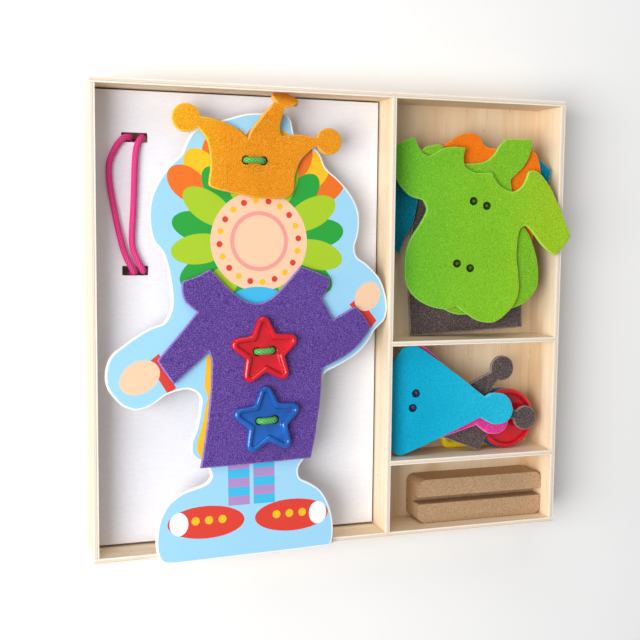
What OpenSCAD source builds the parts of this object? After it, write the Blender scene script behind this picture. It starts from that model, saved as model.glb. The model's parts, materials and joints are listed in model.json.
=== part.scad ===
// Lacing dress-up toy: a flat wooden figure, felt clothes, plastic buttons and
// laces, kept in an open plywood tray with four compartments.
// The tray lies on its back: X to the right, Y towards the figure's head, Z up,
// origin in the middle of the tray's underside. Millimetres.

/* [Tray] */
// Outside width of the tray
tray_w = 280; // [279:0.5:281]
// Outside length of the tray
tray_l = 257; // [256.5:0.5:258]
// Outside depth of the tray
tray_d = 32; // [31.9:0.1:32.1]
// Thickness of the plywood walls
wall_t = 3.2; // [3:0.1:3.2]
// Thickness of the plywood dividers
div_t = 2.8; // [2.4:0.1:2.8]
// Thickness of the bottom panel
base_t = 3; // [2.6:0.1:3]
// How deep the panel and the dividers are let into the walls
house_t = 1.6; // [1:0.1:1.8]

/* [Card insert] */
// Height of the card's top face above the underside of the tray
card_z = 13.6; // [13:0.1:14]
// Thickness of the card
card_t = 0.8; // [0.6:0.1:1]

/* [Figure] */
// Thickness of the figure board
board_t = 3.5; // [3:0.1:3.5]
// Lean of the figure: the feet lie on the rim and the head inside
fig_tilt = 2.58; // [2.5:0.02:2.66]

/* [Felt and lacing] */
// Thickness of the felt
felt_t = 2.5; // [2:0.1:2.5]
// Radius of the lacing holes
hole_r = 2.3; // [2.2:0.05:2.4]
// Radius of a lace
lace_r = 1.75; // [1.5:0.05:1.75]
// Lean of the pile of felt coats
pile_tilt = 9.8; // [9.7:0.05:9.9]
// Lean of the pile of felt hats
hats_tilt = 3.8; // [3.7:0.05:3.9]

/* [Buttons and stand] */
// Radius of the round buttons
round_r = 18.4; // [18:0.1:18.4]
// Height of a button
button_h = 4; // [3.6:0.1:4]
// Length of the stand block
stand_l = 83; // [80:0.5:83]
// Width of the stand block
stand_w = 26.5; // [25:0.5:26.5]
// Height of the stand block
stand_h = 19; // [17:0.5:20]
// Width of the slot in the stand block
slot_w = 4.4; // [4.2:0.1:4.6]
// Depth of the slot in the stand block
slot_d = 9.5; // [8:0.5:11]

/* [Hidden] */

gap = 0.3;                       // air between pieces that lie on each other
in_x = tray_w / 2 - wall_t;      // inside half width
in_y = tray_l / 2 - wall_t;      // inside half length
div_x = 28;                      // left face of the long divider
up_y = -15.8;                    // lower face of the upper short divider
low_y = -85.8;                   // lower face of the lower short divider

// ---- outlines -----------------------------------------------------------
// A closed smooth curve through points [x, y, corner]; corner 1 breaks the curve.
function pt(p) = [p[0], p[1]];
function is_corner(p) = len(p) > 2 && p[2] == 1;
function crv(a, b, c, d, t) = 0.5 * (2 * b + (c - a) * t
  + (2 * a - 5 * b + 4 * c - d) * t * t + (3 * b - a - 3 * c + d) * t * t * t);
function smooth(p, k = 3) = let (n = len(p)) [for (i = [0 : n - 1])
  let (b = pt(p[i]), c = pt(p[(i + 1) % n]),
       a = is_corner(p[i]) ? 2 * b - c : pt(p[(i + n - 1) % n]),
       d = is_corner(p[(i + 1) % n]) ? 2 * c - b : pt(p[(i + 2) % n]))
  for (j = [0 : k - 1]) crv(a, b, c, d, j / k)];

// figure board, in the figure's own plane: x across, y from the rim to the head
board_pts = [[-62,238],[-53,240.5],[-44,241],[-36,241.5],[-31,240.5],[-28.5,237.5],
  [-27.5,233],[-26,228.5],[-20,225],[-14,222],[-11,218],[-9.5,214],[-7,210.5],[-2,206.5],
  [3,201.5],[7.5,195.5],[10.5,189],[11.5,182],[10.5,174],[8.5,167.5],[10,162],[15,158.5],
  [20,154],[24,149],[26.5,143],[28,136.5],[28,131],[26.5,126],[23,122.5],[20,119.5],
  [17,114.5],[12,109],[5,104],[-3,100],[-9.5,97],[-12,92.5],[-13,82],[-14,72],
  [-16,63],[-19,54],[-23,48.5],[-26,44.5],[-26.5,41],[-25,37.5],[-19.5,34.5],[-14.5,31],
  [-11,26.5],[-8,20],[-6.5,13.5],[-6,7],[-6.5,1.5],[-8,-2],[-11,-2.5],[-30,-3],[-60,-3.5],
  [-90,-4],[-98.5,-4],[-103.5,-3],[-106,0.5],[-107,5],[-107,11],[-106,18],[-104,23.5],
  [-100.5,29],[-95.5,33],[-90.5,35.5],[-83,37.5],[-78.5,39.5],[-76.5,42.5],[-77.5,46.5],
  [-80,50],[-84.5,52.5],[-87,55.5],[-87.5,59],[-87,63],[-84.5,69],[-83,75],[-82,81],
  [-81.5,85],[-83,88],[-85.5,90],[-89.5,91],[-95.5,90],[-101,88],[-106,84.5],[-111,82],
  [-117,81],[-123.5,83.5],[-128,88],[-131.5,93.5],[-132.5,99.5],[-131.5,106],[-128.5,111.5],
  [-122,116.5],[-115.5,121],[-108,125],[-102,127],[-99,130],[-97,135],[-96.5,140],[-97,147],
  [-98,154],[-99.5,160.5],[-101.5,165.5],[-105.5,170.5],[-107.5,177],[-108,185],[-107,193],
  [-104,200.5],[-100,207],[-95.5,212.5],[-90.5,217],[-88.5,221],[-86,226],[-83,230],[-77,233],
  [-70,235.5]];

// long-sleeved coat with a wing collar
coat_pts = [[-75,155.5,1],[-70,150],[-64,144],[-57.5,139],[-53,137],[-48.5,136.5],[-43,138],
  [-37.5,142],[-32.5,147],[-27.5,152.5],[-24,156.5,1],[-17.5,154.5],[-11.5,152],[-7,150,1],
  [-7,146.5],[-9,142.5],[-12,138.5,1],[-8.5,133],[-5,126.5,1],[1.5,130],[8,133.5,1],
  [13,128.5],[17.5,121.5,1],[14.5,117],[8.5,110.5],[1.5,105.5],[-5.5,102],[-12,99,1],
  [-12.5,88.5],[-13.5,78],[-15,69],[-16.5,60],[-19,49,1],[-48.5,48],[-82,47.5,1],
  [-80,58.5],[-78,70],[-76.5,81.5],[-75.5,92],[-75,101],[-75,107],[-76.5,111,1],
  [-80.5,107],[-86.5,102],[-92,97.5],[-96,94,1],[-104.5,107,1],[-98,114.5],[-90,123.5],
  [-82.5,132.5,1],[-85.5,135],[-89,138.5],[-90.5,143],[-90.5,148],[-89.5,149.5,1],[-82,152]];

// three-pointed jester hat without its round ends: left point, middle point, right point and brim
jester_left = [[-80,238,1],[-74.5,237.5],[-68.5,236],[-63,234],[-59,232],[-56,229.5],[-53,227,1]];
jester_mid_pts = [[-51,231],[-47,236.5],[-42.5,241.5],[-38,246,1],[-31.5,245,1],[-33.5,239],[-34.5,233.5]];
jester_right = [[-34,229,1],[-28.5,229.5],[-23,230],[-17.5,229],[-12.5,228.5,1],
  [-12,224,1],[-16,222.5],[-19,220],[-22.5,216.5],[-24.5,213],[-26.5,207.5],[-27,202],
  [-28,198],[-30,196],[-34.5,194.5],[-42.5,194.5],[-50,195],[-57.5,196.5],[-65.5,198],
  [-71.5,199.5],[-74.5,201],[-75,203.5],[-74,209.5],[-74,216],[-74.5,221],[-76,226],
  [-78.5,229.5],[-81,232,1]];
jester_mid = [-32.6, 250];       // middle round end when it lies flat
// middle point of the hat that is worn, measured up the slope from its crease
jester_rise = [[-53,0,1],[-51.5,3.7],[-48,9.6],[-44.5,15],[-40.5,19.7,1],[-34,18.6,1],[-35,12.2],[-35.5,6.4],[-34,0,1]];

// cone hat with a round tip, in the plane of the pile of hats
cone_pts = [[-1,-54],[-1,-42],[0.5,-31],[2.5,-26],[5.5,-21],[8,-18],[11.5,-17],
  [16,-17],[20,-19],[30,-26],[45,-37],[60,-48.5,1],[64,-46.5],[68.5,-46.5],[73,-47.5],
  [76.5,-51],[78,-54.5],[78.5,-58],[77,-62],[74,-64.5],[70.5,-65.5],[66,-65.5],
  [61.5,-63.5],[57.5,-61,1],[45,-66.5],[30,-73],[18,-78],[12,-80.5],[8.5,-82],
  [5.5,-82],[3,-80],[1,-76.5],[-0.5,-66]];

// clothes in the plane of the pile of coats
green_up_pts = [[14.5,105.5,1],[17,100],[20,96],[23.5,94.5],[27.5,96.5],[32,99],[38.5,100],
  [45.5,99.5,1],[44.5,94.5],[45,89.5],[47.5,87],[53,85],[62,85.5,1],[64,81.5],[67.5,77.5],
  [72,75],[76,74.5],[80.5,77.5],[83,82],[84.5,86.5,1],[88.5,87],[93,84],[97.5,78.5],
  [100.5,73.5],[105,64.5],[112,48.5,1],[109.5,44],[103,36.5,1],[98.5,39],[94,43],
  [89.5,48.5],[85.5,53],[82.5,54],[80,51.5],[79,46],[78.5,36],[80,24.5],[80.5,16],
  [79,10],[76,5],[70.5,-0.5],[65,-3.5],[59.5,-3.5],[54,-2],[48.5,1.5],[45,4],
  [42,6.5,1],[38.5,5],[33,4.5],[25,6.5],[18.5,10],[13.5,15],[10.5,21.5],[10,29],
  [10.5,38],[13.5,46.5],[18,53.5],[21,59],[22.5,63],[21,67.5],[19,69],[15,70],
  [10.5,72.5],[6,77.5],[3,83],[-0.5,87.5,1],[-1.5,97.5,1],[6,101.5]];
green_low_pts = [[23,100],[27.5,101],[30.5,101.5],[33.5,99.5],[38,95],[42,92],[46.5,90.5],
  [54.5,91],[60,92.5],[64.5,96.5],[67.5,101.5],[71.5,105.5,1],[87.5,105.5,1],[87.5,100],
  [85.5,94],[82.5,89],[78.5,85],[75,81.5,1],[76,75],[77.5,66],[80.5,58.5],[84,54],
  [88,48],[91.5,39],[93.5,31],[94,23.5],[93,16.5],[88.5,10.5],[83,6.5],[72,3],[60,1],
  [49.5,1],[44.5,1],[40,2],[36,4],[26,9],[18,17],[14.5,28],[16,42],[22,54],[25.5,63],
  [22.5,69],[14,73],[8,80],[5,88,1],[7,97,1],[15,99],[19.5,97.5]];
orange_pts = [[35,101.5],[41,105.5],[47,108.5],[52.5,108.5],[56,107],[59,102.5],[63.5,100],
  [70,100],[78,101],[84,102],[90,99.5],[93.5,94],[95,86.5],[95,78],[94.5,68],[92,58],
  [91.5,48.5],[89.5,40],[87,28],[84,17],[76,10],[62,7],[45,8],[30,13],[21,22],[19,34],[23,48],
  [27,60],[27,70],[24,80],[24,90],[28,97]];
teal_pts = [[10,37,1],[12,43.5],[15.5,50],[18.5,56],[20,63.5],[21.5,70],[28,76,1],[29,66],
  [28,50],[27,30],[29,16],[42,10],[62,9],[78,12],[82,25],[82,45],[84,60],[88,70,1],[94,73],
  [100.5,77.5,1],[102.5,84],[103,88,1],[97,93],[90,97],[80,98],[72,95,1],[62,87],[52,85],[42,89,1],
  [32,94],[20,92],[9,85],[2,73],[-0.5,58],[-0.5,45,1]];
charcoal_pts = [[19,-12.5,1],[54,-10],[89,-7.5,1],[88.5,6],[88,20],[86,40],[85,52],[84,61,1],[95,66,1],
  [92,84,1],[80,92],[70,95,1],[62,86],[52,84],[44,92,1],[32,88],[22,80],[9,68,1],[13,58,1],[19.5,61,1],
  [17.5,42],[17,22],[17.5,5]];

module plate(p, t, k = 3) { linear_extrude(t) polygon(smooth(p, k)); }
module pierce(at, h) { for (p = at) translate([p[0], p[1], -1]) cylinder(r = hole_r, h = h + 2, $fn = 48); }

// ---- places -------------------------------------------------------------
module on_figure() translate([0.25, -126.35, tray_d + 0.35]) rotate([-fig_tilt, 0, 0]) rotate([0, 0, 0.31]) children();
// layers of the coat pile are measured along the slope from one upright line
module on_pile(i) let (z = i * (felt_t + gap)) translate([33, 0, base_t + gap]) rotate([0, -pile_tilt, 0])
  translate([tan(pile_tilt) * (z + felt_t), 0, z]) children();
module on_hats(i) let (z = i * (felt_t + gap)) translate([33, 0, 20.5 - 62 * tan(hats_tilt)]) rotate([0, -hats_tilt, 0])
  translate([tan(hats_tilt) * (z + felt_t), 0, z]) children();
function stack_z(i) = base_t + gap + i * (button_h + gap);

felt_z = board_t + gap;          // underside of the clothes that the figure wears
star_z = felt_z + felt_t + gap;  // underside of the stars on the coat
star_floor = 2;                  // thickness of a star or square button inside its rim
round_floor = 1.4;               // the same for a round button
square_w = 38;                   // side of the square button
hat_holes = [[-55.1, 214.9], [-45.4, 214.6]];
red_c = [-46.5, 110.6];          // middle of the red star
blue_c = [-45.6, 72.3];          // middle of the blue star
star_turn = 3;
star_holes = [[-4.5, 0.2], [4.5, 0.2]];
function pair(c) = [for (h = star_holes) c + [h[0] * cos(star_turn) - h[1] * sin(star_turn), h[0] * sin(star_turn) + h[1] * cos(star_turn)]];
coat_holes = concat(pair(red_c), pair(blue_c));
pile_holes_green = [[50.9, 68.4], [59.1, 65.8], [41.6, 31.6], [49.8, 28.9]];
cone_holes = [[15.8, -45], [14, -53.6]];

// ---- tray ---------------------------------------------------------------
module box_base() color([0.93, 0.82, 0.66])
  translate([-in_x - house_t, -in_y - house_t, 0]) cube([2 * (in_x + house_t), 2 * (in_y + house_t), base_t]);

module base_space() translate([-in_x - house_t, -in_y - house_t, -1])
  cube([2 * (in_x + house_t), 2 * (in_y + house_t), base_t + 1]);
module long_space() translate([div_x, -in_y - house_t, base_t])
  cube([div_t, 2 * (in_y + house_t), tray_d]);
module short_space(y) translate([div_x + div_t - 1, y, base_t])
  cube([in_x + house_t - div_x - div_t + 1, div_t, tray_d]);

module side_wall(x) difference() {
  translate([x, -in_y, 0]) cube([wall_t, 2 * in_y, tray_d]);
  base_space();
  short_space(up_y);
  short_space(low_y);
}
module end_wall(y) difference() {
  translate([-tray_w / 2, y, 0]) cube([tray_w, wall_t, tray_d]);
  base_space();
  long_space();
}
module wall_left() color([0.98, 0.92, 0.82]) side_wall(-tray_w / 2);
module wall_right() color([0.98, 0.92, 0.82]) side_wall(in_x);
module wall_back() color([0.98, 0.92, 0.82]) end_wall(in_y);
module wall_front() color([0.98, 0.92, 0.82]) end_wall(-tray_l / 2);

module divider_long() color([0.97, 0.9, 0.8]) difference() {
  translate([div_x, -in_y - house_t, base_t]) cube([div_t, 2 * (in_y + house_t), tray_d - base_t]);
  short_space(up_y);
  short_space(low_y);
}
module short_divider(y) translate([div_x + div_t - 1, y, base_t])
  cube([in_x + house_t - div_x - div_t + 1, div_t, tray_d - base_t]);
module divider_upper() color([0.97, 0.9, 0.8]) short_divider(up_y);
module divider_lower() color([0.97, 0.9, 0.8]) short_divider(low_y);

// ---- card platform with two lace slots -----------------------------------
card_x0 = -136.3;
card_x1 = 26.8;
card_y0 = -123.9;
card_y1 = 124.4;
module card_insert() color([0.96, 0.96, 0.97]) difference() {
  translate([card_x0, card_y0, base_t + 0.2]) cube([card_x1 - card_x0, card_y1 - card_y0, card_z - base_t - 0.2]);
  translate([card_x0 + card_t, card_y0 + card_t, 0])
    cube([card_x1 - card_x0 - 2 * card_t, card_y1 - card_y0 - 2 * card_t, card_z - card_t]);
  for (y = [97, 25.3]) translate([-121, y, 0]) cube([14, 5, card_z + 1]);
}

// ---- laces --------------------------------------------------------------
// A round cord swept along a smooth open route, eight sides.
function unit(v) = v / norm(v);
function route(p, k) = let (n = len(p)) concat([for (i = [0 : n - 2]) for (j = [0 : k - 1])
  crv(p[max(i - 1, 0)], p[i], p[i + 1], p[min(i + 2, n - 1)], j / k)], [p[n - 1]]);
function heads(p) = let (n = len(p)) [for (i = [0 : n - 1]) unit(p[min(i + 1, n - 1)] - p[max(i - 1, 0)])];
function sides(t, a) = [for (i = 0, n = unit(cross(t[0], a)); i < len(t);
  n = i + 1 < len(t) ? unit(n - t[i + 1] * (n * t[i + 1])) : n, i = i + 1) n];
module cord(p, r, k, a = [0, 0, 1]) {
  q = route(p, k);
  t = heads(q);
  s = sides(t, a);
  m = 8;
  n = len(q);
  v = [for (i = [0 : n - 1]) for (j = [0 : m - 1])
    q[i] + r * (cos(j * 360 / m) * s[i] + sin(j * 360 / m) * cross(t[i], s[i]))];
  f = concat([[for (j = [m - 1 : -1 : 0]) j]], [[for (j = [0 : m - 1]) (n - 1) * m + j]],
    [for (i = [0 : n - 2]) for (j = [0 : m - 1]) for (h = [0, 1]) h == 0
      ? [i * m + j, i * m + (j + 1) % m, (i + 1) * m + j]
      : [i * m + (j + 1) % m, (i + 1) * m + (j + 1) % m, (i + 1) * m + j]]);
  polyhedron(points = v, faces = [for (x = f) [for (j = [len(x) - 1 : -1 : 0]) x[j]]], convexity = 10);
}

// One stitch: up through one hole, over the top, down the other, and two tails behind.
// top is the height of the surface under the stitch, tails are lists of points.
module stitch(a, b, top, tail_a, tail_b) {
  u = unit([b[0] - a[0], b[1] - a[1]]);
  z = top + lace_r + 0.1;
  function at(c, s, h) = [c[0] + s * u[0], c[1] + s * u[1], h];
  cord(concat(tail_a, [at(a, 0, -0.7), at(a, 0, z - 4.4), at(a, 0.2, z - 2.1), at(a, 1.1, z - 0.5), at(a, 2.9, z),
    at(b, -2.9, z), at(b, -1.1, z - 0.5), at(b, -0.2, z - 2.1), at(b, 0, z - 4.4), at(b, 0, -0.7)], tail_b),
    lace_r, 2, [0.3, 1, 0.2]);
}
tail_z = -lace_r - 0.65;         // height of a tail lying along the back of the board
low_z = tail_z - 2 * lace_r - 0.3;
module lace_green_hat() color([0.27, 0.69, 0.27]) on_figure() stitch(hat_holes[0], hat_holes[1], felt_z + felt_t,
  [[-14, 204, low_z], [-24, 212, low_z], [-34, 220, low_z], [-45, 226, low_z - 0.4], [-54, 225, low_z], [-59, 219.5, tail_z - 2.4],
    [-57.8, 215.4, tail_z - 0.9]],
  [[-42.7, 215, tail_z - 0.5], [-41.3, 219, tail_z - 0.2], [-46, 225, tail_z], [-56, 228, tail_z], [-67, 226, tail_z], [-77, 220, tail_z],
    [-86, 212, tail_z]]);
module lace_green_red_star() color([0.27, 0.69, 0.27]) on_figure() stitch(pair(red_c)[0], pair(red_c)[1], star_z + star_floor,
  [[-70, 135, tail_z], [-69, 125, tail_z], [-64, 116, tail_z], [-58, 111.5, tail_z], [-53.6, 110.5, tail_z - 0.5]],
  [[-39.4, 111.2, tail_z - 0.5], [-35, 112.5, tail_z], [-29, 117, tail_z], [-24, 126, tail_z], [-23, 136, tail_z]]);
module lace_green_blue_star() color([0.27, 0.69, 0.27]) on_figure() stitch(pair(blue_c)[0], pair(blue_c)[1], star_z + star_floor,
  [[-70, 94, tail_z], [-69, 86, tail_z], [-64, 78, tail_z], [-57.5, 73, tail_z], [-52.7, 72.2, tail_z - 0.5]],
  [[-38.5, 72.9, tail_z - 0.5], [-34, 74, tail_z], [-28, 79, tail_z], [-24, 87, tail_z], [-23, 96, tail_z]]);

front_z = card_z + lace_r + 0.15;
back_z = base_t + lace_r + 1.2;
module lace_pink() color([0.92, 0.12, 0.5]) cord([
  [-84, 14, back_z], [-88, -4, back_z], [-96, -20, back_z], [-110, -26, back_z], [-122, -18, back_z], [-126, -2, back_z],
  [-122, 13, back_z], [-117, 22, back_z + 1.2], [-115, 26.4, back_z + 3.8], [-114.4, 27.2, card_z - 0.6], [-115.4, 28, front_z - 0.4],
  [-118, 33, front_z], [-120.5, 39, front_z], [-123.2, 50, front_z], [-125.4, 61, front_z], [-127.3, 72, front_z],
  [-128, 80, front_z], [-127.6, 86, front_z], [-125.5, 91.5, front_z], [-122.6, 96.4, front_z], [-119.5, 99.2, front_z - 0.4],
  [-116.7, 99.6, card_z - 1], [-115.2, 98.6, back_z + 3.4], [-114.4, 94, back_z + 0.8], [-113, 82, back_z], [-111.5, 62, back_z],
  [-110.4, 42, back_z], [-109.8, 33, back_z + 0.8], [-109.6, 28.6, back_z + 3.4], [-109.7, 27.6, card_z - 0.6], [-110.6, 29, front_z - 0.3],
  [-113, 33.6, front_z], [-115.2, 39, front_z], [-116, 45, front_z], [-115.5, 55, front_z], [-114.9, 66, front_z],
  [-114.5, 77, front_z], [-114.1, 86, front_z], [-113.3, 93.5, front_z], [-111.6, 98, front_z - 0.2], [-109.8, 99.6, card_z - 0.4],
  [-109.2, 101, back_z + 3.4], [-107.5, 105, back_z + 0.8], [-101, 112, back_z], [-88, 115, back_z], [-75, 107, back_z],
  [-71, 92, back_z], [-78, 78, back_z]], lace_r, 2, [1, 0.2, 0]);

// ---- figure and what it wears ---------------------------------------------
module figure_board() color([0.63, 0.85, 0.97]) on_figure() difference() {
  plate(board_pts, board_t);
  pierce(concat(hat_holes, coat_holes), board_t);
}
module felt_coat_purple() color([0.38, 0.27, 0.6]) on_figure() translate([0, 0, felt_z]) difference() {
  translate([-0.8, 0.4, 0]) plate(coat_pts, felt_t);
  pierce(coat_holes, felt_t);
}
module jester_flat(mid, brim = 0) {
  plate([for (p = concat(jester_left, mid ? jester_mid_pts : [], jester_right)) len(p) > 2 ? p : [p[0], max(p[1], brim)]], felt_t);
  translate([-86.9, 237, 0]) cylinder(r = 7.7, h = felt_t, $fn = 64);
  translate([-6.6, 226.6, 0]) cylinder(r = 7.4, h = felt_t, $fn = 64);
  if (mid) translate([jester_mid[0], jester_mid[1], 0]) cylinder(r = 7.6, h = felt_t, $fn = 64);
}
// the middle point rises, and its round end folds down where it meets the wall of the tray
module felt_jester_hat_orange() color([0.97, 0.62, 0.12]) on_figure() difference() {
  union() {
    translate([-0.8, -0.3, felt_z]) jester_flat(false);
    translate([0, 227.5, felt_z]) rotate([27.4, 0, 0]) plate(jester_rise, felt_t);
    translate([-32.2, 246.3, 8]) rotate([0, 0, -10]) rotate([-58, 0, 0]) cylinder(r = 7.5, h = felt_t, center = true, $fn = 64);
  }
  translate([0, 0, felt_z]) pierce(hat_holes, felt_t);
}

// ---- buttons --------------------------------------------------------------
// Five arms with round tips and straight flanks that meet in notches: r is the reach of an arm,
// q that of a notch, tip the radius of the round end.
function star_line(r, q, tip) = let (c = r - tip, n = q * [cos(36), sin(36)],
  e = atan2(n[1], n[0] - c) - acos(tip / norm(n - [c, 0])))
  [for (i = [0 : 4]) let (a = 90 + 72 * i) each concat(
    [for (k = [-4 : 4]) c * [cos(a), sin(a)] + tip * [cos(a + k * e / 4), sin(a + k * e / 4)]],
    [q * [cos(a + 36), sin(a + 36)]])];
module star_button() difference() {
  linear_extrude(button_h) polygon(star_line(19.3, 11.6, 3.6));
  translate([0, 0, star_floor]) linear_extrude(button_h) polygon(star_line(15.8, 7.6, 0.4));
  pierce(star_holes, button_h);
}
module round_button() difference() {
  cylinder(r = round_r, h = button_h, $fn = 96);
  translate([0, 0, round_floor]) cylinder(r = round_r - 3.5, h = button_h, $fn = 96);
  pierce([[-4.5, 0], [4.5, 0]], button_h);
}
module pad(side, r, h) linear_extrude(h) let (a = side / 2 - r) union() {
  square([side, side - 2 * r], center = true);
  square([side - 2 * r, side], center = true);
  for (x = [-a, a]) for (y = [-a, a]) translate([x, y]) circle(r = r, $fn = 48);
}
module square_button() difference() {
  pad(square_w, 4.5, button_h);
  translate([0, 0, star_floor]) pad(square_w - 9.2, 1.6, button_h);
  pierce([[-4.5, 0], [4.5, 0]], button_h);
}
module star_button_red() color([0.88, 0.1, 0.18]) on_figure() translate([red_c[0], red_c[1], star_z]) rotate(star_turn) star_button();
module star_button_blue() color([0.1, 0.33, 0.65]) on_figure() translate([blue_c[0], blue_c[1], star_z]) rotate(star_turn) star_button();
module round_button_yellow() color([0.96, 0.86, 0.08]) translate([93, -63.9, stack_z(0)]) rotate(90) round_button();
module square_button_yellow() color([0.96, 0.86, 0.08]) translate([92.3, -63.65, stack_z(1)]) square_button();
module round_button_blue() color([0.1, 0.33, 0.65]) translate([110.8, -64.3, stack_z(2)]) rotate(120) round_button();
module round_button_red() color([0.84, 0.12, 0.14]) translate([113.3, -64.2, stack_z(3)]) rotate(30) round_button();

// ---- loose clothes ----------------------------------------------------------
module felt_coat_charcoal() color([0.27, 0.23, 0.23]) on_pile(0) difference() {
  plate(charcoal_pts, felt_t);
  pierce([[50, 58], [59, 58.5], [48, 22], [57, 22.5]], felt_t);
}
module felt_coat_teal() color([0, 0.47, 0.6]) on_pile(1) difference() {
  plate(teal_pts, felt_t);
  pierce([[52, 64], [61, 63], [50, 30], [59, 29]], felt_t);
}
module felt_vest_orange() color([0.96, 0.52, 0.08]) on_pile(2) difference() {
  plate(orange_pts, felt_t);
  pierce([[53, 70], [62, 69], [50, 34], [59, 33]], felt_t);
}
module felt_suit_green_lower() color([0.5, 0.75, 0.16]) on_pile(3) difference() {
  plate(green_low_pts, felt_t);
  pierce([[54.5, 75.5], [63, 77.5], [52, 39.5], [60.5, 41]], felt_t);
}
module felt_suit_green_upper() color([0.5, 0.75, 0.16]) on_pile(4) difference() {
  plate(green_up_pts, felt_t);
  pierce(pile_holes_green, felt_t);
}
module felt_jester_hat_charcoal() color([0.33, 0.28, 0.28]) on_hats(0) difference() {
  translate([73.7, -32.2, 0]) rotate(-21) translate([-jester_mid[0], -jester_mid[1], 0]) jester_flat(true, 198);
  translate([73.7, -32.2, 0]) rotate(-21) translate([-jester_mid[0], -jester_mid[1], 0]) pierce(hat_holes, felt_t);
}
module cone_hat(length = 1, shift = [0, 0]) difference() {
  plate([for (p = cone_pts) concat(78 + length * (p[0] - 78), [for (i = [1 : len(p) - 1]) p[i]])], felt_t);
  pierce([for (h = cone_holes) h + shift], felt_t);
}
module felt_cone_hat_pink() color([0.94, 0.24, 0.63]) on_hats(1)
  translate([10, -49.3, 0]) rotate(-7) translate([-10, 50, 0]) cone_hat(0.975, [-2.9, -1.2]);
module felt_cone_hat_blue() color([0.05, 0.67, 0.82]) on_hats(2) cone_hat();

// ---- stand ------------------------------------------------------------------
stand_x = 136.4 - stand_l / 2;
stand_y = -125 + stand_w / 2;
module stand_block() color([0.72, 0.59, 0.45]) translate([stand_x, stand_y, base_t + 0.2]) difference() {
  linear_extrude(stand_h) let (r = 4.5, a = stand_l / 2 - 4.5, b = stand_w / 2 - 4.5) union() {
    square([stand_l, stand_w - 2 * r], center = true);
    square([stand_l - 2 * r, stand_w], center = true);
    for (x = [-a, a]) for (y = [-b, b]) translate([x, y]) circle(r = r, $fn = 48);
  }
  translate([-stand_l, 0.55 - slot_w / 2, stand_h - slot_d]) cube([2 * stand_l, slot_w, slot_d + 1]);
}

box_base();
wall_left();
wall_right();
wall_back();
wall_front();
divider_long();
divider_upper();
divider_lower();
card_insert();
lace_pink();
figure_board();
felt_coat_purple();
felt_jester_hat_orange();
star_button_red();
star_button_blue();
lace_green_hat();
lace_green_red_star();
lace_green_blue_star();
felt_coat_charcoal();
felt_coat_teal();
felt_vest_orange();
felt_suit_green_lower();
felt_suit_green_upper();
round_button_yellow();
square_button_yellow();
round_button_blue();
round_button_red();
felt_jester_hat_charcoal();
felt_cone_hat_pink();
felt_cone_hat_blue();
stand_block();
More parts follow.
